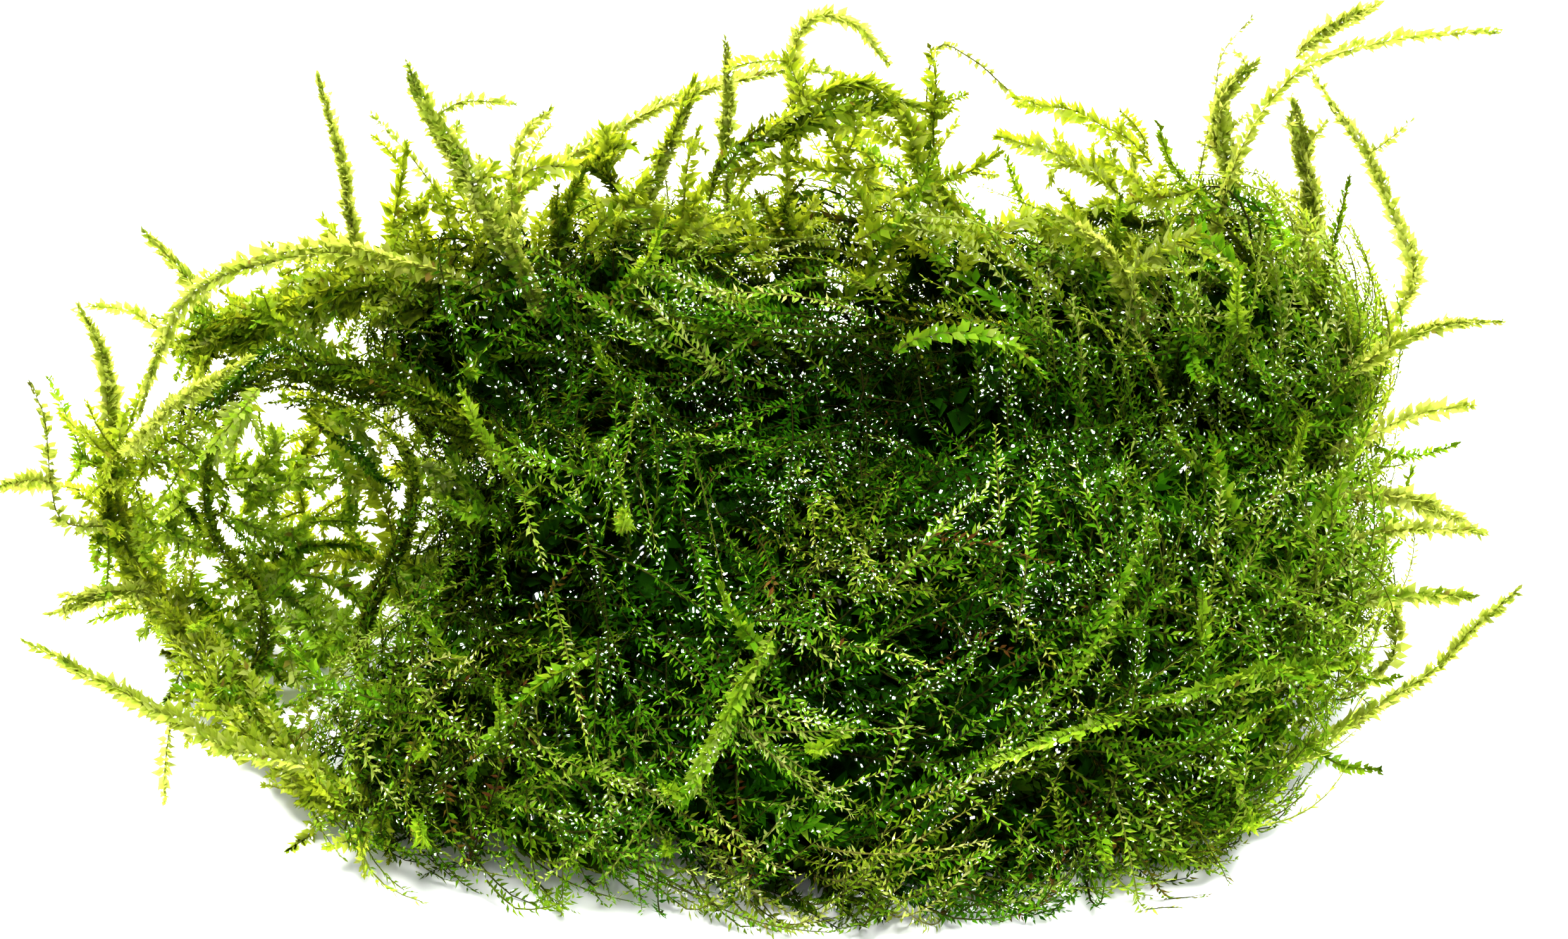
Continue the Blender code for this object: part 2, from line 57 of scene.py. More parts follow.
# Corners of a leaf on the map: base, right, left, tip. A wet leaf lies up it, the others across it.
LEAF_UV = np.array(((-0.04, 0.09), (0.0, 0.0), (0.0, 0.18), (0.05, 0.09)))
WET_UV = np.array(((0.0, 0.0), (-0.03, 0.08), (0.03, 0.08), (0.0, 0.18)))
STEM_UV = np.array(((-0.03, 0.0), (0.03, 0.0), (0.0, 0.03)))
LEAF_TONES, STEM_TONES = (0.05, 0.94), (0.06, 0.93)  # least and most tone that the map has room for
TIP_PALER, TONE_SPREAD, STEM_DARKER = 0.18, 0.10, 0.05
WET = 0.42  # share of leaves with a spot of wet gloss, where these are neither crowded nor few
SPOT_FROM, SPOT_TO = 0.3, 0.56  # where the spot lies along its leaf
EDGE_PALER = 0.06

MAT_STEP, LOOSE_STEP = 0.5, 0.3  # between leaves of a row
# Rows of leaves: turn about the stem, start within a step, share of the leaf length.
MAT_ROWS = ((0.0, 0.0, 1.0), (math.pi, 0.5, 1.0))
LOOSE_ROWS = ((0.2, 0.0, 1.0), (math.pi - 0.2, 0.5, 1.0), (-0.9, 0.25, 0.8), (math.pi + 0.9, 0.75, 0.8))
OPEN, SHUT, OPEN_SPREAD = 58, 24, 18  # degrees from leaf to stem at the foot, at the tip, and their spread
LIFT, LIFT_SPREAD = 0.12, 0.3  # how far a leaf leans out of its row
ROLL_SPREAD, BEND_SPREAD = 0.25, 0.15
LEAF_START, LEAF_GAIN, LEAF_LOSS = 0.7, 0.3, 0.4  # length at the foot, gained soon after, lost at the tip
LEAF_SIZES = (0.7, 1.2)
WIDEST, FOLD = 0.4, 0.1  # where a leaf is widest, and how far its sides rise there, as shares of its length
RING = 3  # leaf places between two rings of a stem
STEM_RADIUS, STEM_THINNING = 0.1, 0.65
TWIST_SPREAD = 0.03
LOWEST = 0.08  # clear of the ground

# The mat's layers: shoots, share of them left above the crest line, depth under the skin, length, dive,
# curl, leaf length, slimness, share of leaves kept, tone, which falls with depth as painted shade.
LAYERS = (
    (260, 0.06, (-4.0, -1.5), (9, 16), (6, 10), 0.09, 0.85, 0.32, 0.92, 0.40),
    (2700, 0.06, (-1.5, 1.0), (8, 18), (3, 8), 0.07, 0.78, 0.33, 0.95, 0.36),
    (1100, 0.06, (1.5, 4.0), (8, 14), (2, 5), 0.05, 1.3, 0.45, 0.95, 0.20),
    # the layer inside is nearly black: painted shade deep in the mat
    (1400, 0.0, (4.0, 8.0), (8, 12), (1, 3), 0.04, 2.7, 0.64, 0.80, 0.02),
)
CREST_FILLING = (180, 0.12, (-1.0, 3.5), (8, 16), (2, 5), 0.12, 0.9, 0.40, 0.95, 0.36)
CREST_WEB = (100, 1.0, (-0.5, 5.0), (8, 18), (3, 8), 0.14, 0.9, 0.38, 0.9, 0.44)
FILLING_FROM, WEB_FROM = 17, 22  # heights over which their tips lie
CREST_DRAWS, CREST_BACK = 5, 3  # tips drawn for each of theirs, and how far back they lie at least
INSIDE, INSIDE_LOWER = 3, 9  # a layer deeper than this has no gaps, and ends so far below the crest line
# The crest line, height over place from left to right, above which the mat is airy, behind LINE_BACK.
CREST_LINE = ((-35, 25), (-20, 27), (-13, 30), (-5, 31), (1, 25), (8, 23), (13, 26), (20, 28.5), (26, 29.5),
              (31, 31), (48, 30))
LINE_BACK, LINE_SOFT = 5, 3
SKIN = 2.2  # what stands farther out of the tufts than this is a strand or sprig
# Swirl of the mat's shoots: its middle, how far patches of them turn from it, and each by itself.
SWIRL_MIDDLE, PATCH_TURN, TURN_SPREAD = (6, -5, 0), 0.6, 0.8
UPRIGHT, UPRIGHT_FROM, UPRIGHT_OVER = 1.2, 20, 12
FACE_SPREAD = 0.5
SHOOT_SIZES = (0.8, 1.15)
DULLEST, BRIGHTEST, PLAIN_DARKER = 0.5, 1.9, 0.1  # tones vary between these shares, less a little
DYING, DYING_DEAD, OTHER_DEAD = 0.02, 0.5, 0.004  # share of dying shoots, of dead leaves there, and elsewhere

# Painted shade in the mat: depth where the light fails, tone lost for each mm below, how far down, and
# the share of it that the crest is spared. CREST_LIT and CREST_PALE are heights where it is spared and
# where painted light makes the crest paler.
SUNLIT, DARKER, DARKEST, CREST_SPARED = 0.5, 0.075, 6, 0.85
CREST_LIT, CREST_PALE, CREST_PAINTED_LIGHT = 21, 25, 0.42
CREST_RISE, CREST_FRONT, CREST_DEPTH = 8, 2, 4
# Pale ends, painted light where the mat is thin and light comes through: middle, way from it and
# softness, the same for the front edge with its share, and their tone.
MIDDLE, ENDS, ENDS_SOFT, EDGE, EDGE_SOFT, EDGE_SHARE, PAINTED_THROUGH_LIGHT = 4, 28, 20, 24, 6, 0.4, 0.3
# Spots of painted shade, where the moss is darker, and of painted light, where it is paler: centre,
# radius and the tone added.
PAINTED_SHADE_AND_LIGHT = ((5, -3, 24, 15, -0.12), (-18, 6, 26, 13, -0.17), (0, -26, 8, 20, 0.06), (36, 0, 18, 16, 0.07))
# Places where the mat opens on its inside, dark with painted shade: centre and radius, and the share of
# shoots missing there.
GAPS = ((8, -6, 22, 6), (15, -16, 14, 5), (-17, -10, 16, 4.5), (11, -27, 6, 5), (28, -9, 15, 4),
        (-4, 6, 24, 4))
GAP_BARER = 0.8
# Patterns of patches: shoots that turn alike, olive shoots, wet leaves.
ALIKE, OLIVE_CLUMPS, CLUSTERS = (8, 9, math.inf, 5, 13, math.inf), (6, 7, 9, 4, -9, 5), (2, 3, 2, 2, -3, 2)
OLIVE_OVER = 1.15  # shoots are olive where their pattern is above this

# How a path in the mat is steered: answer to its depth, most lean, answer to the heading, and the rise
# that it gets near the ground.
LEAN, MOST_LEAN, HEED, NEAR_GROUND, OFF_GROUND = 0.45, 0.75, 0.35, 1.2, 0.3
FEWEST_PLACES = 6

# Bundles: strands for each square of the half width, branches a millimetre, and slimness of the leaves.
LOBE, CREST, LOOSE = (3.8, 1.0, 0.42), (2.0, 0.3, 0.45), (5.0, 0.0, 0.58)
DEEP_DENSER, MOST_STRANDS = 2.6, 24
LEAF_REACH, SHORTEST_LEAF, LONGEST_LEAF = 2.1, 0.6, 1.5
FOOT_SHARE, TIP_SHARE = 0.55, 0.5
STOUT, STRAND_SPRIGS, SPRIG_REACH, BRANCH_REACH = 0.8, 1.1, (0.9, 1.8), (1.5, 5)
TONES, KEPT, BARE_KEPT = {"deep": 0.26, "mid": 0.60, "pale": 0.72, "bare": 0.44}, 0.95, 0.5
BUD = 0.45  # the tone that a loose shoot loses at its very tip
SINGLE_SLIM, SINGLE_DEAD, STRAND_DEAD = 0.52, 0.02, 0.01
# The way that a shoot's flat side faces, how far it strays from this, and a strand's from the way out.
FLAT_TO, FLAT_SPREAD, STRAND_FLAT_SPREAD = (0.0, -0.6, 0.8), 0.35, 0.3
# Strands: where they start and end as shares of the shoot, how they wind about it for each mm, the room
# left for their leaves, the wave of their way out, and their leaves and tones against the shoot's.
STRAND_START, STRAND_END, WIND, LEAF_ROOM, WAVE, WAVE_TURNS = (0, 0.2), (0.85, 1), 0.2, 0.5, 0.4, (0.5, 1.2)
STRAND_LEAVES, STRAND_TONES, SHOOT_TONES = (0.85, 1.1), 0.08, 0.05
# Side shoots: how far they point along their shoot, their bend, leaves, and tone against the shoot's.
SIDE_AHEAD, SIDE_BEND, SIDE_LEAVES, SIDE_TONES = (0.2, 1.2), 0.3, (0.65, 0.95), (0.05, 0.1)
SPRIG_START, SPRIG_LEAVES, SPRIG_TONES = 3, (0.9, 1.2), (0.32, 0.58)

BLEND = 2.0  # how softly the tufts run together
# The tufts that the mat is heaped from: centre, then half sizes.
TUFTS = (
    (6, -1, 5, 35, 24, 18), (6, 17, 21, 14, 8, 15), (4, 9, 17, 28, 9, 14), (-12, 14, 18, 13, 9, 16),
    (-23, 12, 20, 9, 7, 12), (22, 14, 17, 12, 9, 13), (34, 14, 20, 9, 8, 15), (40, 11, 17, 7, 9, 12),
    (35, -2, 8, 11, 12, 11), (24, -13, 3, 15, 12, 11), (6, -16, 3, 20, 14, 12), (-14, -14, 3, 18, 13, 12),
    (-13, -2, 12, 10, 12, 12), (-23, -17, 3, 11, 9, 8),
)
# Each short sprig: foot, middle and tip.
SPRIGS = (
    (14.4, 21.3, 22.1, 15.9, 25.7, 20.4, 16.8, 28.4, 21.2),
    (8.8, 22.8, 15.5, 10.3, 26.5, 18.1, 11, 27.9, 20.2),
    (-22.1, -16.9, 11.3, -24.2, -16.6, 15.4, -25, -16.5, 17.9),
    (33, -20.9, 3.1, 32.7, -25.4, 6.3, 32.5, -27.4, 9.2),
    (-5.7, 20, 13.9, -5.3, 22.5, 10.1, -4.9, 24.9, 9.1),
    (43.4, 8.9, 9.4, 47.8, 11.3, 8.4, 50.2, 12.6, 9.6),
    (7.6, 12, 30.2, 10.1, 11.2, 35.5, 11.2, 10.8, 39.2),
    (-21.3, -2.7, 14.7, -24.3, 0.3, 16.5, -25.5, 1.6, 18.4),
    (38.6, 13.1, 6.7, 42.9, 15.8, 3.7, 46.2, 17.9, 4.2),
    (-0.6, -18.3, 15.1, -3.3, -18.6, 19.5, -4.4, -18.7, 22.6),
    (38, -0.5, 16.8, 37.7, -3.4, 22.5, 37.5, -4.7, 26.7),
    (34.2, -8.4, 16, 32, -5.9, 20.8, 31, -4.9, 24.3),
    (-18.9, -4.5, 18.7, -21.9, -3.8, 24.2, -23.2, -3.5, 28.3),
    (37.3, 12.8, 32.4, 37.2, 7.4, 33.3, 37.1, 4.6, 35.5),
    (-28.8, 8.5, 17.4, -32.9, 7.1, 20.9, -34.7, 6.5, 23.8),
    (4.1, 21.6, 12.1, 6.5, 27.6, 12.6, 7.9, 31, 15),
    (42.2, 13.1, 25.9, 42.7, 13.8, 31.5, 43, 14.1, 35.1),
    (36, 14.7, 7.3, 38.9, 19.9, 4.8, 41, 23.7, 5.8),
    (-10.8, 2.1, 21.5, -12.9, 1.7, 25.6, -13.7, 1.6, 28.1),
    (-25.7, -24.1, 3.8, -24.8, -28.1, 8.2, -24.4, -29.9, 11.8),
    (-26.7, 16.6, 22.2, -25, 21.7, 20.9, -24, 24.7, 22.2),
    (22.2, 19.8, 24.7, 19, 21, 29.3, 17.6, 21.5, 32.6),
    (42.8, 1.5, 3.8, 47.2, 3.5, 5, 49.3, 4.4, 7),
    (38.4, 5.7, 22.8, 35.2, 2.7, 25.6, 33.8, 1.4, 28.3),
    (39.8, 15.2, 7.8, 39.6, 21.5, 9.3, 39.5, 24.8, 12.2),
    (35.1, -16, 7.8, 39.3, -20, 7.1, 41.8, -22.4, 8.7),
    (20.1, 20.6, 13.6, 19.8, 24.7, 11.6, 19.6, 27.2, 12),
    (30.2, -16.7, 10.7, 29.5, -15.8, 16.1, 29.2, -15.4, 19.5),
    (30.8, 9.1, 26.6, 30.8, 3.5, 24.9, 30.9, -0.2, 26.1),
    (-5.8, -22.8, 8, -7.4, -26.7, 11, -8.1, -28.5, 13.7),
    (-13.5, -5.6, 22, -17.7, -6.7, 24.3, -19.5, -7.1, 26.5),
    (-12, 9.1, 28.5, -9.8, 6.2, 33.2, -8.8, 5, 36.7),
    (14.3, 20.7, 14.5, 13.7, 23.8, 10.6, 13.2, 26.7, 9.7),
    (28.1, 20.5, 15.9, 25.6, 24.9, 13, 23.7, 28.2, 13.5),
    (36.7, 19.9, 21.9, 35.3, 24.8, 24.5, 34.6, 27.1, 27.3),
    (11.3, 16, 32.9, 11.2, 17.4, 38.3, 11.2, 18, 41.7),
    (14.2, 21.8, 24.1, 12.8, 26.2, 28.4, 12.1, 28.3, 32.1),
    (-26.8, -19.6, 8.6, -24.8, -23.7, 11.7, -23.8, -25.5, 14.6),
    (36, -11.2, 11.7, 37.4, -16.8, 11.9, 38.2, -20, 13.9),
    (22, -22.5, 5.7, 22.1, -27.2, 5.8, 22.1, -29.6, 7.3),
    (35, 7.5, 24, 33.6, 4.7, 29.6, 33, 3.4, 33.8),
    (-28.2, -17.7, 8.9, -33.4, -14.9, 10, -36.2, -13.3, 12.5),
    (-18.1, 19.6, 13.9, -18.1, 24.9, 11.3, -18.1, 28.7, 12),
    (-20.4, -3.4, 16, -23.7, -5.4, 18.3, -25.1, -6.2, 20.3),
    (44.4, 6, 16.9, 49.6, 7.5, 13.5, 53.9, 8.6, 13.8),
    (39.2, 18.3, 18.4, 40.2, 22.6, 16.6, 40.7, 25.2, 17.3),
    (25.9, 15.7, 27.9, 25.2, 11.4, 32.4, 24.9, 9.4, 36.2),
    (5, -21.6, 12.6, 2.7, -25.6, 14.1, 1.6, -27.5, 16.1),
    (-15.4, 21.4, 17.9, -14.8, 24.4, 14.5, -14.2, 26.9, 13.9),
    (-11.6, -8.3, 19.6, -11.2, -12.2, 22.7, -11.1, -13.8, 25.2),
    (38.6, -5.9, 16.5, 41.8, -2.5, 19.7, 43.3, -0.9, 22.8),
    (44.4, -3.7, 10.8, 47.3, 0.6, 13.2, 48.6, 2.6, 16),
    (-23.3, 7.3, 23.4, -23.3, 2.4, 25.2, -23.3, 0.2, 27.5),
    (-8.5, -24.9, 3.2, -8, -28.3, 7, -7.9, -29.8, 9.8),
    (27.5, 18.7, 11.2, 28.4, 22.1, 7.8, 29.1, 24.9, 7.5),
    (40.2, -10.2, 7.9, 43.2, -13.6, 9, 44.5, -15.2, 10.8),
    (7.4, 20, 33.3, 2.9, 21.6, 36.5, 0.8, 22.4, 39.6),
    (-20, -23, 8.6, -19.4, -23.5, 14.6, -19.1, -23.7, 18.7),
    (32.3, 14.6, 32.8, 28.9, 12.3, 37.5, 27.4, 11.2, 41.4),
    (28.7, -20.1, 8.7, 31.6, -22.2, 12.1, 32.7, -23, 14.6),
    (-9.6, 21.3, 15.8, -13.2, 26.3, 17, -15.1, 29, 19.7),
    (32.7, 0.8, 16.8, 29.7, -0.8, 20.5, 28.5, -1.4, 23.1),
)
# The loose shoots of the left lobe and the others: half width, colour, then x, y, z of the places of the
# route from foot to tip.
LOBE_SHOOTS = {
    "left_rim": (2.1, "mid", -26, -20, 4, -32, -20.5, 3.2, -39.5, -13, 3, -44.5, -6, 3, -49.5, 1, 3.6,
     -53, 4, 7, -53, 4, 12, -51, 3.5, 18),
    "left_band_back": (2.3, "mid", -22, 12, 26, -31.5, 11, 27, -37, 11, 25.5, -42, 10.5, 24, -47.5, 9, 22),
    "left_band_front": (1.7, "deep", -16, -2, 16, -22.5, -0.5, 21.5, -26.5, 0, 24.5, -32, 1, 26,
     -38, 2.5, 25.5, -43, 4, 22, -47.5, 5, 18),
    "left_hoop_front": (1.0, "deep", -29, -13, 4, -32.3, -8.4, 4, -31.5, -5.5, 9, -28, -4.5, 16,
     -27.3, -3.8, 20, -28, -3.2, 23, -30.5, -2.9, 25.3, -34.5, -2.1, 26, -38, -1.4, 25),
    "left_hoop_drop": (0.9, "deep", -42.5, -8.7, 3.5, -40.4, -6, 4.8, -40.5, -3.8, 9, -43, -3, 14,
     -43, -2.6, 19, -42, -1.6, 22.2, -39.5, 0.2, 24.3),
    "left_hoop_outer": (0.7, "bare", -51.5, 3.4, 15.5, -49.3, 1.2, 16.6, -46.5, 0, 20.5, -43.5, 0, 22.3,
     -41.5, 0.6, 23.3),
    "left_inner_stem": (0.8, "mid", -39, 8, 2, -39.5, 9.5, 6, -40, 10.5, 10, -38, 10, 14, -37, 9.5, 20,
     -36.5, 10.8, 25.2),
    "left_inner_right": (0.7, "mid", -23, -1, 4, -27.5, -1.2, 3.6, -30, -0.6, 7.5, -30.5, 0.3, 14,
     -33, 1.5, 18.5, -36, 2, 22),
    "left_inner_low": (0.7, "mid", -26, 3, 5, -32, 4.5, 4.6, -36, 5, 4.5, -41, 5, 3.6, -46, 4.5, 3),
    "left_inner_arch": (0.5, "bare", -18, 14, 12, -26, 14, 9, -32, 14.5, 6.5, -36, 14, 3.8, -39.5, 13, 1.2),
}
FREE_SHOOTS = {
    # far left
    "left_long_arch": (0.8, "pale", -22, 9, 28, -28, 8.5, 30.8, -34, 8, 32.5, -39.5, 7, 31.8, -44, 6, 29.8,
     -47, 4, 25.5, -49, 3, 21),
    "left_lean_inner": (0.85, "mid", -50.8, 3, 17.5, -49, 0, 20, -46.5, -2, 23.5, -44, -3, 26.5, -41, -4, 29,
     -37.5, -4.3, 31.5),
    "left_far_high": (0.6, "bare", -52.8, 3.5, 9.5, -54.5, -2.5, 15, -54.2, -3.5, 20, -53.5, -3.5, 25.5,
     -53.8, -4, 29),
    "left_far_low": (0.7, "pale", -54.2, -3.4, 19.5, -55.2, -5, 21, -56.5, -7, 22),
    "left_pale": (0.9, "pale", -52.8, 4.2, 12.5, -53, 7.2, 15.5, -53, 9, 21.5, -54, 9, 26.8),
    "left_thin_arch": (0.45, "pale", -45.5, 10.5, 21.5, -48, 13, 20.4, -50, 14, 21.3, -52, 14, 23,
     -55, 14, 23.5),
    "left_up_short": (0.8, "pale", -44, 10.2, 23.5, -45.6, 13, 24.4, -48, 16.5, 25, -51, 18.5, 27.5),
    "left_low_tuft": (1.1, "pale", -50.5, 2, 5, -51.6, -1.2, 7.2, -54, -3, 8, -56.5, -5, 8),
    "front_left_long": (0.9, "pale", -33, -20, 6.5, -40.5, -17.5, 6.2, -44.5, -15, 6, -50, -12.5, 7,
     -54, -11, 8.5, -56.5, -10.5, 10),
    "front_left_sprig": (0.5, "pale", -45.3, -14.8, 5.9, -45.5, -17.3, 3.8, -45.2, -19.5, 2.6),
    # along the back rim
    "back_left_slender": (0.85, "pale", -31, 10, 24, -33, 12, 31, -33.5, 13.5, 37, -34.5, 15, 43),
    "back_left_bold": (1.2, "mid", -18, 8, 26, -21.5, 9, 34.5, -25.5, 11, 41.5, -27.5, 12, 45.7),
    "back_left_twig": (0.35, "pale", -25.4, 11.3, 42, -23.5, 13, 42.2, -20, 13.5, 41.8),
    "back_left_wisp": (0.45, "bare", -24, 15, 28, -28, 16.5, 34.5, -32, 18, 39),
    "back_left_curl": (0.6, "pale", -20.5, 13, 27, -21, 15, 33, -20, 17, 37, -18, 18, 38.6),
    "back_dark": (0.7, "mid", -12, 14, 28, -9.5, 15.5, 35, -6.5, 17, 41.3),
    "back_pale": (0.9, "pale", -4.5, 20, 28, -4.5, 23, 37, -4.5, 24, 41.5),
    "back_arc_long": (0.8, "pale", -24, 19, 25, -21, 21, 29.5, -16, 22.5, 32.5, -8, 25, 36, 0, 27, 37.5,
     5, 27, 37),
    "back_hook": (0.7, "pale", 1, 19, 34, 0.8, 19, 42.5, 2, 19, 45.5, 3.5, 19, 46, 5.5, 19, 45.2,
     8, 19.5, 42),
    "back_bare_arc": (0.35, "bare", 11, 20, 32, 11.5, 22, 41.5, 14.5, 22.5, 40.8, 18.5, 22.5, 37.3,
     22, 22.5, 35.8, 26.5, 21.5, 34, 30, 20, 30),
    "back_right_leafy": (0.9, "mid", 28, 9, 24, 26, 7.8, 29.5, 23.5, 8.2, 33, 19.5, 9, 35.3),
    # back right corner
    "right_main": (0.55, "mid", 33, 14, 24, 34.5, 16, 35, 38.5, 18.5, 41.3, 44, 18, 44.3, 49.5, 17, 45.7,
     52.5, 16.5, 46),
    "right_plume": (1.3, "pale", 36, 20, 30, 34.3, 22, 36, 35.5, 23, 38.5, 37, 23.3, 40),
    "right_crest": (0.9, "pale", 39, 20.5, 42, 42, 20.5, 44.8, 44.5, 20, 46.6),
    "right_drop": (1.2, "pale", 42.5, 17, 22, 42, 20, 29.5, 41, 21.3, 33, 39.7, 22, 37.5),
    "right_outer": (0.8, "pale", 46, 12, 19, 49.5, 14, 26, 48.5, 16.5, 29.2, 46, 21, 33.3, 43.5, 24, 36,
     42, 25, 38),
    "right_wisp": (0.35, "bare", 46.2, 21.1, 33.1, 47.2, 22.8, 32.5, 48.5, 24, 32.8, 50.3, 24.5, 34.3),
    "right_hair": (0.3, "bare", 33, 22, 26, 34.5, 26, 35, 35, 27.5, 38.5, 37, 28, 41.5),
    # right side
    "right_upper": (0.8, "mid", 42, 4.5, 23, 47.5, 3, 28.8, 52, 1, 31),
    "right_high": (0.6, "pale", 42, 3, 17, 47, 1, 22.3, 50.5, -1, 24.8),
    "right_mid": (0.8, "pale", 42, 0, 16, 47.5, -2, 16.8, 52.5, -4, 15),
    "right_sparse": (0.7, "pale", 42, -4, 14, 45.5, -6.5, 17.3, 50, -8.5, 19),
    "right_low": (0.7, "pale", 42, -7, 11, 46.5, -9, 13.3, 50.5, -10, 14),
    "right_curved": (0.6, "mid", 43, -8, 2, 46.5, -7.2, 4.5, 46.8, -6.2, 8, 45.8, -6.5, 11),
    "right_front_long": (0.7, "mid", 31, -20, 3, 38, -15.5, 3.4, 43.5, -13, 5, 48.5, -11.5, 8, 51, -11, 12,
     52.5, -12.5, 17),
    # behind the rim, not seen in the photo
    "behind_left_low": (0.8, "mid", -22, 18, 9, -27, 25, 10, -32, 31, 14),
    "behind_left_arc": (0.7, "mid", -12, 20, 20, -15, 28, 24, -19, 33, 20, -21, 34.5, 13),
    "behind_left_high": (0.8, "pale", -13, 20, 20, -16.5, 26, 25, -18, 29.5, 29),
    "behind_middle_low": (0.9, "mid", -2, 20, 5, -3, 29, 5.5, -1, 35, 9),
    "behind_middle_high": (0.8, "pale", 7, 22, 22, 7.5, 30, 26.5, 5, 34, 31),
    "behind_right_arc": (0.7, "mid", 20, 20, 18, 23, 28, 22, 27, 33, 19, 29, 34.5, 12),
    "behind_right_low": (0.8, "mid", 30, 16, 7, 37, 24, 7, 42, 30, 10),
    "behind_right_high": (0.8, "pale", 25, 20, 18, 29, 27, 23, 29.5, 31, 28),
}
